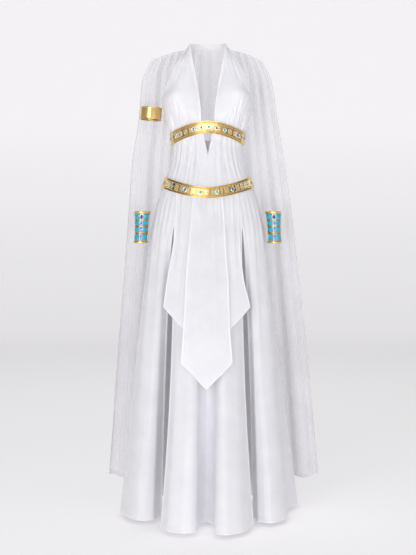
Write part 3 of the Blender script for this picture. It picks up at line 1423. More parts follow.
def make_band(name, node, line):
    """One stamped gold band with smooth end plates. Its recesses darken towards the sides."""
    place = on_trim(line)
    outline = band_outline(line.half_height)
    angles = steps(-TRIM_END_ANGLE, -END_PLATE_ANGLE, PLATE_STEPS)
    angles += steps(END_PLATE_STEP - END_PLATE_ANGLE, END_PLATE_ANGLE - END_PLATE_STEP, BAND_STEPS)
    angles += steps(END_PLATE_ANGLE, TRIM_END_ANGLE, PLATE_STEPS)

    def surface(u, v):
        out, up = outline[int(round(v))]
        turned_in = min((TRIM_END_ANGLE - abs(u)) / PLATE_ROUND, 1.0)
        if abs(u) >= END_PLATE_ANGLE and out > BAND_FOOT:
            out = RIM_OUT - PLATE_ROUND_DEPTH * (1.0 - math.sqrt(turned_in))
        return place(u, out, up)

    def tone(u, v):
        out = outline[int(round(v))][0]
        recess = {BAND_FLOOR: FIELD_TONE, RIM_OUT - CHANNEL_DEPTH: CHANNEL_TONE}.get(out)
        if abs(u) >= END_PLATE_ANGLE or recess is None:
            return 0.0
        return blend(recess.middle, recess.side, smooth((abs(u) - TONE_START) / TONE_REACH))
    band = grid_sheet(name, angles, list(range(len(outline))), surface, None, BAND_METAL, tone)
    dress(band, material_of("gilt"), "gold_plate", node)


Template = namedtuple("Template", "points faces")


def template(add, shape=None, **sizes):
    """Models one small repeated shape from a primitive and keeps its points and faces."""
    piece = primitive(add, **sizes)
    if shape:
        shape(piece)
    points = [vertex.co.copy() for vertex in piece.data.vertices]
    faces = [tuple(face.vertices) for face in piece.data.polygons]
    bpy.data.objects.remove(piece)
    return Template(points, faces)


def stamped(points, faces, shape, place, angle, out, up, scale=(1.0, 1.0, 1.0)):
    """Adds a copy of a template to a mesh's lists, wrapped on a metal piece. x runs along, z out."""
    turn_per_metre = 1.0 / (place(angle + 0.5, out, up) - place(angle - 0.5, out, up)).length
    start = len(points)
    for point in shape.points:
        here = angle + point.x * scale[0] * turn_per_metre
        points.append(place(here, out + point.z * scale[2], up + point.y * scale[1]))
    faces.extend(tuple(start + index for index in face) for face in shape.faces)


def stamp_mesh(name, points, faces, smooth_angle=40.0):
    """Makes one piece from the copies of a template."""
    mesh = bpy.data.meshes.new(name)
    mesh.from_pydata(points, [], faces)
    mesh.update()
    piece = bpy.data.objects.new(name, mesh)
    bpy.context.scene.collection.objects.link(piece)
    run_on(piece, bpy.ops.object.shade_smooth_by_angle, angle=math.radians(smooth_angle))
    return piece


def bead_template():
    """A small bead of radius 1, for scaling."""
    return template(bpy.ops.mesh.primitive_uv_sphere_add, segments=8, ring_count=5, radius=1.0)


def ring_template(wire):
    """A round wire ring of radius 1, for scaling, with a wire of the given share of it."""
    return template(bpy.ops.mesh.primitive_torus_add, major_segments=18, minor_segments=6,
                    major_radius=1.0, minor_radius=wire)


def pinch(piece):
    """Draws a cone's every second base corner in, which makes a four-pointed star."""
    for vertex in piece.data.vertices:
        flat = Vector((vertex.co.x, vertex.co.y))
        if flat.length > 0.5 and abs(flat.x) > 0.2 and abs(flat.y) > 0.2:
            vertex.co.x *= 0.42
            vertex.co.y *= 0.42


def star_template():
    """A four-pointed leaf of radius 1 and height 1, for scaling."""
    return template(bpy.ops.mesh.primitive_cone_add, pinch, vertices=8, radius1=1.0, radius2=0.0, depth=1.0,
                    location=(0.0, 0.0, 0.5))


BEAD_RADIUS = 0.0011
BEAD_SPACING = 0.0030
BEAD_INSET = 1.2
ROW_MARGIN = 1.2
RING_RADIUS = 0.0030
RING_WIRE = 0.0009
RING_UP = 0.0042
RING_LIFT = 0.0005
DIAMOND_WIDTH = 0.0046
DIAMOND_HEIGHT = 0.0066
DIAMOND_RISE = 0.0019
BEZEL_SHARE = 0.24
BEZEL_RISE = 0.0024
BEZEL_LIFT = 0.0006
BEZEL_GAP = 0.0007
STONE_DOT = 0.0013
STONE_DOT_GAP = 0.0016
MOTIF_PITCH = 0.0068
MOTIF_MARGIN = 2.2
MIDDLE_DOT = 0.0012
RING_DOT = 0.0013
SMALL_DOT = 0.0011
SMALL_DOT_UP = 0.0020


def make_filigree(name, line, stones):
    """Raised work of a band, in two tones.

    Pale bead rows, rings and bezels stand on the sunk field, with darker four-pointed leaves between.
    """
    place = on_trim(line)
    bead = bead_template()
    ring = ring_template(RING_WIRE / RING_RADIUS)
    bezel = ring_template(BEZEL_SHARE)
    star = star_template()
    pale = ([], [])
    dark = ([], [])
    field = line.half_height - RIM_HEIGHT
    reach = (place(1.0, 0.0, 0.0) - place(0.0, 0.0, 0.0)).length

    def dot(angle, up, size, out=BAND_FLOOR):
        stamped(*pale, bead, place, angle, out, up, (size, size, size))
    count = int(2.0 * (END_PLATE_ANGLE - 1.0) * reach / BEAD_SPACING)
    for angle in steps(ROW_MARGIN - END_PLATE_ANGLE, END_PLATE_ANGLE - ROW_MARGIN, count):
        for side in (-1.0, 1.0):
            dot(angle, side * (field - BEAD_INSET * BEAD_RADIUS), BEAD_RADIUS)
    for stone in stones:
        wide = stone.half_width + BEZEL_GAP
        tall = stone.half_height + BEZEL_GAP
        floor = BAND_FLOOR if abs(stone.angle) < END_PLATE_ANGLE else RIM_OUT
        stamped(*pale, bezel, place, stone.angle, floor + BEZEL_LIFT, 0.0, (wide, tall, BEZEL_RISE))
        if floor == BAND_FLOOR:
            for side in (-1.0, 1.0):
                dot(stone.angle, side * (tall + STONE_DOT_GAP), STONE_DOT)
    cells = int(2.0 * (END_PLATE_ANGLE - 1.6) * reach / MOTIF_PITCH)
    stations = steps(MOTIF_MARGIN - END_PLATE_ANGLE, END_PLATE_ANGLE - MOTIF_MARGIN, cells)
    for number, angle in enumerate(stations):
        gap = min(abs(angle - stone.angle) * reach - stone.half_width for stone in stones)
        if gap < BEZEL_GAP + 0.5 * RING_RADIUS:
            continue
        leaf = number % 3 == 1 and gap > RING_RADIUS
        if leaf:
            stamped(*dark, star, place, angle, BAND_FLOOR, 0.0,
                    (DIAMOND_WIDTH, DIAMOND_HEIGHT, DIAMOND_RISE))
        else:
            dot(angle, 0.0, MIDDLE_DOT)
        between = angle + 0.5 * MOTIF_PITCH / reach
        for side in (-1.0, 1.0):
            if not leaf:
                stamped(*pale, ring, place, angle, BAND_FLOOR + RING_LIFT, side * RING_UP,
                        (RING_RADIUS, RING_RADIUS, RING_RADIUS))
                dot(angle, side * RING_UP, RING_DOT)
            dot(between, side * (RING_UP + 0.7 * RING_RADIUS), SMALL_DOT)
            dot(between, side * SMALL_DOT_UP, SMALL_DOT)
    for tone, lists, kind in (("bright", pale, "pale_gilt"), ("leaf", dark, "gilt")):
        work = stamp_mesh(f"{name}_{tone}", *lists)
        dress(work, material_of(kind), "gold_plate")


def gem_template(sides):
    """A cut stone of radius 1 and height 1: a steep crown under a flat table."""
    def crown(piece):
        for vertex in piece.data.vertices:
            vertex.co.z += 0.5
    return template(bpy.ops.mesh.primitive_cone_add, crown, vertices=sides, radius1=1.0, radius2=0.52,
                    depth=1.0)


GEM_RISE = 0.0027
GEM_LIFT = 0.0003
GEM_BEVEL = 0.0003


def make_stones(label, line, stones):
    """The stones of one band, each as its own piece on its own solid."""
    place = on_trim(line)
    gem = gem_template(10)
    for number, stone in enumerate(stones, start=1):
        points = []
        faces = []
        floor = BAND_FLOOR if abs(stone.angle) < END_PLATE_ANGLE else RIM_OUT
        stamped(points, faces, gem, place, stone.angle, floor + GEM_LIFT, 0.0,
                (stone.half_width, stone.half_height, GEM_RISE))
        piece = stamp_mesh(f"{label}_gem_{number:02d}", points, faces, 5.0)
        apply_modifier(piece, "BEVEL", width=GEM_BEVEL, segments=2, limit_method="ANGLE")
        kind = "turquoise" if stone.turquoise else "blue"
        slot = "turquoise_enamel" if stone.turquoise else "blue_stone"
        dress(piece, material_of(kind), slot, f"{label}_stone_{number:02d}")


# Armlet

ARMLET_METAL = 0.0009
ARMLET_CHAMFER = 0.0035
ARMLET_STEPS = 150
ARMLET_TIP = 7.0
ARMLET_TIP_STEPS = 12
ARMLET_OUTLINE = (
    (0.0002, 0.0), (0.0014, 0.0), (0.0018, 0.0004), (0.0018, 0.0012), (0.0015, 0.0015), (0.0018, 0.0018),
    (0.0018, 0.0026), (0.0013, 0.0030), (0.0011, 0.0034), (0.0012, 0.0046), (0.0012, 0.0185),
)


def make_armlet():
    """Polished open band with a bead line at each rim. Its front end has its corners cut off."""
    upper = [(out, ARMLET_HEIGHT - up) for out, up in ARMLET_OUTLINE]
    outline = upper + [(out, up) for out, up in reversed(ARMLET_OUTLINE[:-1])]
    end = ARMLET_START + ARMLET_TURN
    reach = math.radians(ARMLET_RADIUS)

    def surface(u, v):
        out, up = outline[int(round(v))]
        cut = max(ARMLET_CHAMFER - (end - u) * reach, 0.0)
        return on_armlet(u, out, min(max(up, cut), ARMLET_HEIGHT - cut))
    stations = steps(ARMLET_START, end - ARMLET_TIP, ARMLET_STEPS)
    stations += steps(end - ARMLET_TIP, end, ARMLET_TIP_STEPS)[1:]
    band = grid_sheet("armlet_band", stations, list(range(len(outline))), surface, None, ARMLET_METAL)
    dress(band, material_of("mirror_gilt"), "gold_plate", "armlet")


# Cuffs

CUFF_FLOOR = 0.0016
CUFF_RIM_OUT = 0.0030
CUFF_METAL = 0.0009
PAD_FLOOR = 0.0018
PAD_RISE = 0.0019
PAD_METAL = 0.0006
PAD_BEZEL = 0.0005
PAD_SIDE = 2.2
PAD_EDGE = 0.16
PAD_FLAT = 0.86
STRIP_RISE = 0.0034
DIVIDER_WIRE = 0.0011
DIVIDER_BOW = 0.0012
CELL_WIRE = 0.0007
RAIL_WIRE = 0.0008
RAIL_TOP = 0.0896
WIRE_SIDES = 6

# Tiers of enamel pads, up from the cuff's lower edge, and the shape of each pad's outer end:
# how round its upper and lower corners are, and how far its outer edge bows in
Tier = namedtuple("Tier", "bottom top round_top round_low bow")
CUFF_TIERS = (
    Tier(0.0075, 0.0270, 0.16, 0.10, 0.16),
    Tier(0.0330, 0.0490, 0.80, 0.80, 0.00),
    Tier(0.0540, 0.0690, 0.80, 0.80, 0.00),
    Tier(0.0715, 0.0885, 0.20, 0.80, 0.00),
)
PAD_STEPS = (0.0, 0.03, 0.10, 0.22, 0.36, 0.50, 0.62, 0.72, 0.80, 0.87, 0.92, 0.96, 0.985, 1.0)
PAD_ROWS = (-1.0, -0.94, -0.80, -0.50, 0.0, 0.50, 0.80, 0.94, 1.0)

# Settings down the middle strip: height above the lower edge, half-sizes and whether it is a blue one
Setting = namedtuple("Setting", "up half_width half_height blue")
STRIP_SETTINGS = (
    Setting(0.0125, 0.0034, 0.0030, False),
    Setting(0.0200, 0.0031, 0.0041, True),
    Setting(0.0290, 0.0026, 0.0025, False),
    Setting(0.0365, 0.0034, 0.0039, False),
    Setting(0.0450, 0.0034, 0.0039, True),
    Setting(0.0530, 0.0026, 0.0025, False),
    Setting(0.0605, 0.0034, 0.0044, True),
    Setting(0.0680, 0.0026, 0.0025, False),
)
# Dark drop at the head of the strip
DROP = Setting(0.0790, 0.0044, 0.0067, True)
DROP_POINT = 0.55
STRIP_EDGE = 0.0006
STRIP_CROWN = 0.0002
STRIP_STEPS = 40
STRIP_METAL = 0.0006
SETTING_LIP = 0.0004
SETTING_LIFT = 0.0003
SETTING_RISE = 0.0022
STRIP_GEM_RISE = 0.0016
STRIP_BEAD = 0.0007
STRIP_BEAD_ANGLE = CUFF_STRIP_ANGLE - 1.6
STRIP_BEAD_END = 0.0012


def corner(share, radius):
    """Half-height of a rounded corner, from 1 along the edge to 0 at its end."""
    if share < 1.0 - radius:
        return 1.0
    return math.sqrt(max(1.0 - ((share - 1.0 + radius) / radius) ** 2, 0.0))


def pad_surface(place, side, tier, lift):
    """Surface of one pad: u from the strip to the outer end, v from its lower to its upper edge."""
    middle = (tier.top + tier.bottom) / 2.0
    half = (tier.top - tier.bottom) / 2.0

    def surface(u, v):
        shape = corner(u, tier.round_top) if v > 0.0 else corner(u, tier.round_low)
        reach = u * (1.0 - tier.bow * (1.0 - v * v))
        angle = side * blend(CUFF_PAD_START, CUFF_PAD_END, reach)
        edge = min(1.0 - abs(v), PAD_SIDE * u, PAD_SIDE * (1.0 - u))
        dome = smooth(edge / PAD_EDGE) * blend(PAD_FLAT, 1.0, smooth(edge / 0.9))
        return place(angle, PAD_FLOOR + lift * dome, middle + half * v * shape)
    return surface


def make_pad(name, node, place, side, tier):
    """One enamel pad of a cuff."""
    surface = pad_surface(place, side, tier, PAD_RISE)
    across = PAD_STEPS if side > 0 else tuple(reversed(PAD_STEPS))
    pad = grid_sheet(name, across, tuple(reversed(PAD_ROWS)), surface, None, PAD_METAL)
    dress(pad, material_of("enamel"), "turquoise_enamel", node)


def wire_path(points, faces, path, outs, radius):
    """Adds a wire of WIRE_SIDES sides along a path of points, with the way out given at each."""
    start = len(points)
    count = len(path)
    for index, here in enumerate(path):
        ahead = path[min(index + 1, count - 1)] - path[max(index - 1, 0)]
        away = outs[index]
        across = ahead.cross(away).normalized()
        for corner_index in range(WIRE_SIDES):
            turn = math.radians(360.0 / WIRE_SIDES * corner_index)
            points.append(here + (across * math.cos(turn) + away * math.sin(turn)) * radius)
    for index in range(count - 1):
        for corner_index in range(WIRE_SIDES):
            first = start + WIRE_SIDES * index + corner_index
            second = start + WIRE_SIDES * index + (corner_index + 1) % WIRE_SIDES
            faces.append((first, second, second + WIRE_SIDES, first + WIRE_SIDES))
    faces.append(tuple(start + i for i in reversed(range(WIRE_SIDES))))
    faces.append(tuple(start + WIRE_SIDES * (count - 1) + i for i in range(WIRE_SIDES)))


def make_cuff_wires(name, place):
    """Gold cell walls: a wire round each pad, thicker arcs between the tiers, and the strip's rails."""
    points = []
    faces = []

    def out_at(angle):
        return Vector((math.sin(math.radians(angle)), -math.cos(math.radians(angle)), 0.0))

    def run(pairs, out, radius):
        path = [place(angle, out, up) for angle, up in pairs]
        wire_path(points, faces, path, [out_at(angle) for angle, up in pairs], radius)
    for side in (-1.0, 1.0):
        for tier in CUFF_TIERS:
            middle = (tier.top + tier.bottom) / 2.0
            half = (tier.top - tier.bottom) / 2.0 + PAD_BEZEL
            loop = []
            for v in (1.0, -1.0):
                shares = PAD_STEPS if v > 0.0 else tuple(reversed(PAD_STEPS))
                for u in shares:
                    radius = tier.round_top if v > 0.0 else tier.round_low
                    angle = side * blend(CUFF_PAD_START, CUFF_PAD_END + 1.5, u)
                    loop.append((angle, middle + half * v * corner(u, radius)))
            run(loop, CUFF_FLOOR + 0.0006, CELL_WIRE)
        for low, high in zip(CUFF_TIERS, CUFF_TIERS[1:]):
            middle = (low.top + high.bottom) / 2.0
            arc = [(side * blend(CUFF_STRIP_ANGLE, CUFF_PAD_END, share),
                    middle + DIVIDER_BOW * math.sin(math.pi * share)) for share in steps(0.0, 1.0, 14)]
            run(arc, CUFF_FLOOR + 0.0008, DIVIDER_WIRE)
        rail = [(side * CUFF_STRIP_ANGLE, up) for up in steps(CUFF_RIM_HEIGHT, RAIL_TOP, 30)]
        run(rail, CUFF_FLOOR + 0.0016, RAIL_WIRE)
    wires = stamp_mesh(name, points, faces, 60.0)
    dress(wires, material_of("gilt"), "gold_plate")


def make_strip(label, place):
    """Middle strip of a cuff: a raised bar with small oval stones in bead-edged settings."""
    low = CUFF_RIM_HEIGHT + STRIP_EDGE
    high = CUFF_RINGS[-1].up - CUFF_RIM_HEIGHT - STRIP_EDGE
    bar_out = ((-CUFF_STRIP_ANGLE, PAD_FLOOR), (-CUFF_STRIP_ANGLE, STRIP_RISE - STRIP_EDGE),
               (1.0 - CUFF_STRIP_ANGLE, STRIP_RISE), (0.0, STRIP_RISE + STRIP_CROWN),
               (CUFF_STRIP_ANGLE - 1.0, STRIP_RISE), (CUFF_STRIP_ANGLE, STRIP_RISE - STRIP_EDGE),
               (CUFF_STRIP_ANGLE, PAD_FLOOR))

    def surface(u, v):
        angle, out = bar_out[int(round(u))]
        return place(angle, out, v)
    bar = grid_sheet(f"cuff_{label}_bar", list(range(len(bar_out))), steps(high, low, STRIP_STEPS),
                     surface, None, STRIP_METAL)
    dress(bar, material_of("champagne"), "gold_plate", f"cuff_{label}_strip")
    bezel = ring_template(BEZEL_SHARE)
    bead = bead_template()
    gem = gem_template(8)
    work = ([], [])
    for row in STRIP_SETTINGS + (DROP,):
        stamped(*work, bezel, place, 0.0, STRIP_RISE + SETTING_LIFT, row.up,
                (row.half_width + SETTING_LIP, row.half_height + SETTING_LIP, SETTING_RISE))
    for up in steps(low + STRIP_BEAD_END, high - STRIP_BEAD_END, STRIP_STEPS):
        for side in (-1.0, 1.0):
            stamped(*work, bead, place, side * STRIP_BEAD_ANGLE, STRIP_RISE - STRIP_CROWN, up,
                    (STRIP_BEAD, STRIP_BEAD, STRIP_BEAD))
    dress(stamp_mesh(f"cuff_{label}_settings", *work), material_of("champagne"), "gold_plate")
    for kind, blue in (("blue", True), ("turquoise", False)):
        stones = ([], [])
        for row in STRIP_SETTINGS:
            if row.blue == blue:
                stamped(*stones, gem, place, 0.0, STRIP_RISE + STRIP_CROWN, row.up,
                        (row.half_width, row.half_height, STRIP_GEM_RISE))
        piece = stamp_mesh(f"cuff_{label}_gems_{kind}", *stones, 5.0)
        dress(piece, material_of(kind), "blue_stone" if blue else "turquoise_enamel")
    drop = template(bpy.ops.mesh.primitive_uv_sphere_add, taper, segments=14, ring_count=9, radius=1.0)
    stones = ([], [])
    stamped(*stones, drop, place, 0.0, STRIP_RISE, DROP.up,
            (DROP.half_width, DROP.half_height, STRIP_GEM_RISE))
    dress(stamp_mesh(f"cuff_{label}_drop", *stones), material_of("dark"), "blue_stone")


def taper(piece):
    """Draws a ball's upper half in to a point, which makes a drop."""
    for vertex in piece.data.vertices:
        if vertex.co.y > 0.0:
            vertex.co.x *= 1.0 - DROP_POINT * vertex.co.y


def make_cuff(label, side):
    """One cuff: its gold body, middle strip, cell walls and enamel pads."""
    place = on_cuff(side)
    rim = CUFF_RIM_HEIGHT
    top = CUFF_RINGS[-1].up
    lower = [(BAND_FOOT, 0.0), (CUFF_RIM_OUT - 0.0006, 0.0), (CUFF_RIM_OUT, 0.0006),
             (CUFF_RIM_OUT, rim - 0.0006), (CUFF_RIM_OUT - 0.0006, rim), (CUFF_FLOOR, rim + 0.0004)]
    upper = [(out, top - up) for out, up in reversed(lower)]
    outline = lower + [(CUFF_FLOOR, up) for up in steps(0.0090, 0.0870, 12)] + upper
    outline.reverse()

    def surface(u, v):
        out, up = outline[int(round(v))]
        return place(u, out, up)

    def tone(u, v):
        return 0.5 if outline[int(round(v))][0] == CUFF_FLOOR else 0.0
    stations = steps(-CUFF_SLOT_ANGLE, CUFF_SLOT_ANGLE, 110)
    body = grid_sheet(f"cuff_{label}_body", stations, list(range(len(outline))), surface, None,
                      CUFF_METAL, tone)
    dress(body, material_of("gilt"), "gold_plate", f"cuff_{label}")
    make_strip(label, place)
    make_cuff_wires(f"cuff_{label}_wires", place)
    for number, tier in enumerate(CUFF_TIERS, start=1):
        make_pad(f"cuff_{label}_cell_{number}a", f"cuff_{label}_pad_{number}a", place, -1.0, tier)
        make_pad(f"cuff_{label}_cell_{number}b", f"cuff_{label}_pad_{number}b", place, 1.0, tier)


# Stage, light and camera

FLOOR_HALF_WIDTH = 16.0
FLOOR_FRONT = -16.0
FLOOR_BACK = 11.0
WALL_HEIGHT = 7.0
COVE_RADIUS = 2.4
IMAGE_WIDTH = 416.0
IMAGE_HEIGHT = 555.0
SENSOR_WIDTH = 36.0
FOCAL_PIXELS = 1180.0
HORIZON_ROW = 255.0
CENTRE_COLUMN = 207.8


def stage_material(settings):
    """Matt studio paper, evenly lit: its own glow keeps it pale, and its paint takes soft shadows."""
    material, _, shader = principled("Studio paper, matt", {
        "Roughness": 0.95, "Specular IOR Level": 0.0, "Emission Strength": settings.paper_glow})
    shader.inputs["Base Color"].default_value = (*settings.paper_colour, 1.0)
    shader.inputs["Emission Color"].default_value = (*settings.paper_colour, 1.0)
    return material


def make_floor(settings):
    """Seamless paper: a floor that curves up into the backdrop."""
    paper = primitive(bpy.ops.mesh.primitive_plane_add, size=2.0)
    for vertex in paper.data.vertices:
        vertex.co.x *= FLOOR_HALF_WIDTH
        vertex.co.y = FLOOR_FRONT if vertex.co.y < 0.0 else FLOOR_BACK
        vertex.co.z = -NECK_HEIGHT
    bpy.ops.object.mode_set(mode="EDIT")
    bpy.ops.mesh.select_mode(type="EDGE")
    bpy.ops.mesh.select_all(action="DESELECT")
    shape = bmesh.from_edit_mesh(paper.data)
    back = [edge for edge in shape.edges if all(v.co.y > 0.0 for v in edge.verts)]
    back[0].select_set(True)
    bmesh.update_edit_mesh(paper.data)
    bpy.ops.mesh.extrude_region_move(TRANSFORM_OT_translate={"value": (0.0, 0.0, WALL_HEIGHT)})
    bpy.ops.mesh.select_all(action="DESELECT")
    shape = bmesh.from_edit_mesh(paper.data)
    for edge in shape.edges:
        fold = all(v.co.y > 0.0 and v.co.z < 0.1 - NECK_HEIGHT for v in edge.verts)
        edge.select_set(fold)
    bmesh.update_edit_mesh(paper.data)
    bpy.ops.mesh.bevel(offset=COVE_RADIUS, segments=24, affect="EDGES")
    bpy.ops.object.mode_set(mode="OBJECT")
    run_on(paper, bpy.ops.object.shade_smooth)
    paper.name = "studio_paper"
    paper.data.materials.append(stage_material(settings))


Lamp = namedtuple("Lamp", "name place size_x size_y power")


def make_lamp(lamp, aim):
    """A soft box that points at the aim."""
    light = bpy.data.lights.new(lamp.name, "AREA")
    light.shape = "RECTANGLE"
    light.size = lamp.size_x
    light.size_y = lamp.size_y
    light.energy = lamp.power
    made = bpy.data.objects.new(lamp.name, light)
    made.visible_camera = False
    bpy.context.scene.collection.objects.link(made)
    made.location = lamp.place
    made.rotation_euler = (aim - Vector(lamp.place)).to_track_quat("-Z", "Y").to_euler()


# Share of the air's light from straight above and from the sides, and where each fall starts and ends
AIR_TOP = 0.25
AIR_TOP_FROM = 0.70
AIR_SIDE = 0.55
AIR_SIDE_FROM = 0.70
AIR_SIDE_TO = 1.05
AIR_SHIFT = -0.14


def make_air(settings):
    """Soft light from all round, weaker from straight above and from the sides, as in a long room."""
    world = bpy.data.worlds.new("studio_air")
    world.use_nodes = True
    tree = world.node_tree
    way = add_node(tree, "ShaderNodeTexCoord")
    axes = add_node(tree, "ShaderNodeSeparateXYZ", links={"Vector": way.outputs["Generated"]})
    rise = add_node(tree, "ShaderNodeMapRange", {"From Max": AIR_TOP_FROM, "To Min": 1.0, "To Max": AIR_TOP},
                    {"Value": axes.outputs["Z"]})
    shifted = add_node(tree, "ShaderNodeMath", {"operation": "ADD", 1: AIR_SHIFT}, {0: axes.outputs["X"]})
    aside = add_node(tree, "ShaderNodeMath", {"operation": "ABSOLUTE"}, {0: shifted.outputs["Value"]})
    narrow = add_node(tree, "ShaderNodeMapRange", {"From Min": AIR_SIDE_FROM, "From Max": AIR_SIDE_TO,
                                                   "To Min": 1.0, "To Max": AIR_SIDE},
                      {"Value": aside.outputs["Value"]})
    both = add_node(tree, "ShaderNodeMath", {"operation": "MULTIPLY"},
                    {0: rise.outputs["Result"], 1: narrow.outputs["Result"]})
    strength = add_node(tree, "ShaderNodeMath", {"operation": "MULTIPLY", 1: settings.air_strength},
                        {0: both.outputs["Value"]})
    air = tree.nodes["Background"]
    air.inputs["Color"].default_value = (*settings.air_colour, 1.0)
    tree.links.new(strength.outputs["Value"], air.inputs["Strength"])
    bpy.context.scene.world = world


def make_stage():
    """Paper, soft boxes, air and camera."""
    settings = bpy.context.scene.costume_stage
    make_floor(settings)
    aim = Vector((0.0, 0.0, -0.70))
    for lamp in (Lamp("front_softbox", (-1.6, -5.0, 0.60), 2.8, 2.8, settings.front_power),
                 Lamp("low_softbox", (0.0, -3.4, -1.20), 3.0, 0.5, settings.low_power),
                 Lamp("back_softbox", (0.0, 4.0, 2.40), 4.0, 2.0, settings.back_power),
                 Lamp("top_softbox", (0.2, -0.4, 2.60), 2.4, 2.0, settings.top_power)):
        make_lamp(lamp, aim)
    make_air(settings)
    bpy.context.scene.view_settings.view_transform = "Standard"
    lens = bpy.data.cameras.new("view_camera")
    lens.sensor_fit = "HORIZONTAL"
    lens.sensor_width = SENSOR_WIDTH
    lens.lens = SENSOR_WIDTH * FOCAL_PIXELS / IMAGE_WIDTH
    lens.shift_x = (IMAGE_WIDTH / 2.0 - CENTRE_COLUMN) / IMAGE_WIDTH
    lens.shift_y = (HORIZON_ROW - IMAGE_HEIGHT / 2.0) / IMAGE_WIDTH
    camera = bpy.data.objects.new("view_camera", lens)
    camera.location = (0.0, -settings.camera_distance, settings.camera_height - NECK_HEIGHT)
    camera.rotation_euler = (math.radians(90.0), 0.0, 0.0)
    bpy.context.scene.collection.objects.link(camera)
    bpy.context.scene.camera = camera


# Add-on

def colour_property(name, description, code):
    """A colour setting with its default as sRGB hex."""
    return FloatVectorProperty(name=name, description=description, subtype="COLOR", size=3, min=0.0,
                               max=1.0, default=linear(code))


class CostumeSettings(bpy.types.PropertyGroup):
    """Sizes and colours of the costume."""

    cloth_thickness: FloatProperty(name="Cloth thickness", description="Thickness of the crepe",
                                   default=0.0009, min=0.0003, max=0.0015, precision=4, unit="LENGTH")
    chiffon_thickness: FloatProperty(name="Chiffon thickness", description="Thickness of the cape",
                                     default=0.0005, min=0.0002, max=0.0012, precision=4, unit="LENGTH")
    cape_cover: FloatProperty(name="Cape cover", description="Cover of one face of the chiffon where it "
                              "hangs flat", default=0.26, min=0.05, max=1.0, subtype="FACTOR")
    cape_fold_cover: FloatProperty(name="Cape fold cover", description="Cover of one face of the chiffon "
                                   "in a fold", default=0.50, min=0.05, max=1.0, subtype="FACTOR")
    cloth_colour: colour_property("Cloth", "Crepe in the light", "#F5F4F9")
    cloth_shade: colour_property("Cloth shade", "Crepe's slightly darker mottling", "#EFEEF3")
    hem_colour: colour_property("Hem", "Crepe where a hem lies double and looks whiter", "#FEFEFF")
    cape_colour: colour_property("Cape", "Chiffon in the light", "#E3E2E7")
    cape_shade: colour_property("Cape shade", "Chiffon's slightly darker mottling", "#DBDADF")
    gold_colour: colour_property("Gold", "Gilt metal where it is polished", "#E9C983")
    bright_colour: colour_property("Bright gold", "Raised bead work and rings", "#FFF0C8")
    champagne_colour: colour_property("Champagne gold", "Middle strip of the cuffs", "#B9AFC2")
    gold_shade: colour_property("Gold shade", "Gilt metal in its recesses", "#7A4E18")
    blue_colour: colour_property("Blue stone", "Blue glass in the light", "#0F93E0")
    blue_shade: colour_property("Blue stone shade", "Blue glass in its depth", "#0860B4")
    dark_colour: colour_property("Dark stone", "Black glass in the light", "#123840")
    dark_shade: colour_property("Dark stone shade", "Black glass in its depth", "#061418")
    aqua_colour: colour_property("Turquoise stone", "Turquoise glass in the light", "#4CD6E4")
    aqua_shade: colour_property("Turquoise stone shade", "Turquoise glass in its depth", "#149CBC")
    enamel_colour: colour_property("Enamel", "Enamel in the light", "#12B6D4")
    enamel_shade: colour_property("Enamel shade", "Enamel's darker clouds", "#0A9ABE")


class StageSettings(bpy.types.PropertyGroup):
    """Floor, lights and camera."""

    paper_colour: colour_property("Paper", "Colour of the studio paper", "#EEEDEE")
    paper_glow: FloatProperty(name="Paper glow", description="Light of the paper's own", default=0.38,
                              min=0.0, max=1.0)
    air_colour: colour_property("Air", "Colour of the light from all round", "#F7F6F8")
    air_strength: FloatProperty(name="Air strength", description="Light from all round", default=1.05,
                                min=0.0, max=2.0)
    front_power: FloatProperty(name="Front", description="Power of the front light in watts",
                               default=60.0, min=0.0)
    low_power: FloatProperty(name="Low", description="Power of the low front light in watts",
                             default=30.0, min=0.0)
    back_power: FloatProperty(name="Back", description="Power of the back light in watts", default=20.0,
                              min=0.0)
    top_power: FloatProperty(name="Top", description="Power of the top light in watts", default=22.0,
                             min=0.0)
    camera_distance: FloatProperty(name="Camera distance", description="From the gown's axis",
                                   default=3.6, min=1.0, max=10.0, unit="LENGTH")
    camera_height: FloatProperty(name="Camera height", description="Above the floor", default=0.80,
                                 min=0.1, max=3.0, unit="LENGTH")


def make_bands():
    """The underbust band and the hip belt, with their raised work."""
    make_band("underbust_band", "underbust_gold", UNDERBUST_LINE)
    make_band("belt_band", "belt_gold", BELT_LINE)
    make_filigree("underbust_work", UNDERBUST_LINE, UNDERBUST_STONES)
    make_filigree("belt_work", BELT_LINE, BELT_STONES)
    make_belt_back()


def make_band_stones():
    """The stones of both bands."""
    make_stones("underbust", UNDERBUST_LINE, UNDERBUST_STONES)
    make_stones("belt", BELT_LINE, BELT_STONES)


def make_cuffs():
    """Both cuffs. The side is where a cuff stands from the middle."""
    make_cuff("left", -1.0)
    make_cuff("right", 1.0)


class MakesPieces:
    """What all operators share: each runs one function that takes nothing."""

    def execute(self, context):
        self.make()
        return {"FINISHED"}


class COSTUME_OT_cups(MakesPieces, bpy.types.Operator):
    """Makes the two halter cups and the neck band"""

    bl_idname = "costume.cups"
    bl_label = "Halter Cups"
    make = staticmethod(make_cups)


class COSTUME_OT_bodice(MakesPieces, bpy.types.Operator):
    """Makes the gathered bodice, front and back"""

    bl_idname = "costume.bodice"
    bl_label = "Bodice"
    make = staticmethod(make_bodice)


class COSTUME_OT_skirt(MakesPieces, bpy.types.Operator):
    """Makes the skirt's four panels"""

    bl_idname = "costume.skirt"
    bl_label = "Skirt"
    make = staticmethod(make_skirt)


class COSTUME_OT_overlay(MakesPieces, bpy.types.Operator):
    """Makes the pointed overlay that hangs from the belt"""

    bl_idname = "costume.overlay"
    bl_label = "Overlay"
    make = staticmethod(make_overlay)


class COSTUME_OT_cape(MakesPieces, bpy.types.Operator):
    """Makes the sheer cape"""

    bl_idname = "costume.cape"
    bl_label = "Cape"
    make = staticmethod(make_cape)


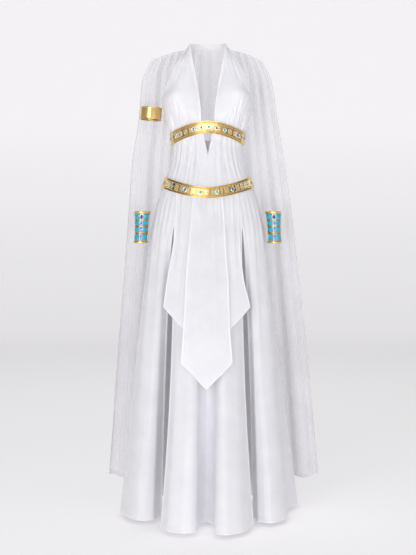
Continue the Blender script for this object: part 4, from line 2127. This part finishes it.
class COSTUME_OT_bands(MakesPieces, bpy.types.Operator):
    """Makes the underbust band and the hip belt"""

    bl_idname = "costume.bands"
    bl_label = "Gold Bands"
    make = staticmethod(make_bands)


class COSTUME_OT_stones(MakesPieces, bpy.types.Operator):
    """Makes the stones of the two bands"""

    bl_idname = "costume.stones"
    bl_label = "Band Stones"
    make = staticmethod(make_band_stones)


class COSTUME_OT_armlet(MakesPieces, bpy.types.Operator):
    """Makes the polished armlet"""

    bl_idname = "costume.armlet"
    bl_label = "Armlet"
    make = staticmethod(make_armlet)


class COSTUME_OT_cuffs(MakesPieces, bpy.types.Operator):
    """Makes the two enamelled cuffs"""

    bl_idname = "costume.cuffs"
    bl_label = "Cuffs"
    make = staticmethod(make_cuffs)


class COSTUME_OT_stage(MakesPieces, bpy.types.Operator):
    """Sets up the paper, the lights and the camera"""

    bl_idname = "costume.stage"
    bl_label = "Stage"
    make = staticmethod(make_stage)


OPERATORS = (COSTUME_OT_stage, COSTUME_OT_cups, COSTUME_OT_bodice, COSTUME_OT_skirt, COSTUME_OT_overlay,
             COSTUME_OT_cape, COSTUME_OT_bands, COSTUME_OT_stones, COSTUME_OT_armlet, COSTUME_OT_cuffs)


class COSTUME_PT_panel(bpy.types.Panel):
    """Lists the costume's pieces and settings in the sidebar"""

    bl_label = "Egyptian Queen Costume"
    bl_idname = "COSTUME_PT_panel"
    bl_space_type = "VIEW_3D"
    bl_region_type = "UI"
    bl_category = "Costume"

    def draw(self, context):
        layout = self.layout
        for settings in (context.scene.costume, context.scene.costume_stage):
            for name in settings.__annotations__:
                layout.prop(settings, name)
        for operator in OPERATORS:
            layout.operator(operator.bl_idname)


CLASSES = (CostumeSettings, StageSettings) + OPERATORS + (COSTUME_PT_panel,)


def register():
    for each in CLASSES:
        bpy.utils.register_class(each)
    bpy.types.Scene.costume = PointerProperty(type=CostumeSettings)
    bpy.types.Scene.costume_stage = PointerProperty(type=StageSettings)


def unregister():
    del bpy.types.Scene.costume_stage
    del bpy.types.Scene.costume
    for each in reversed(CLASSES):
        bpy.utils.unregister_class(each)


def main():
    """Makes the stage and every piece."""
    register()
    bpy.ops.costume.stage()
    bpy.ops.costume.cups()
    bpy.ops.costume.bodice()
    bpy.ops.costume.skirt()
    bpy.ops.costume.overlay()
    bpy.ops.costume.cape()
    bpy.ops.costume.bands()
    bpy.ops.costume.stones()
    bpy.ops.costume.armlet()
    bpy.ops.costume.cuffs()


if __name__ == "__main__":
    main()
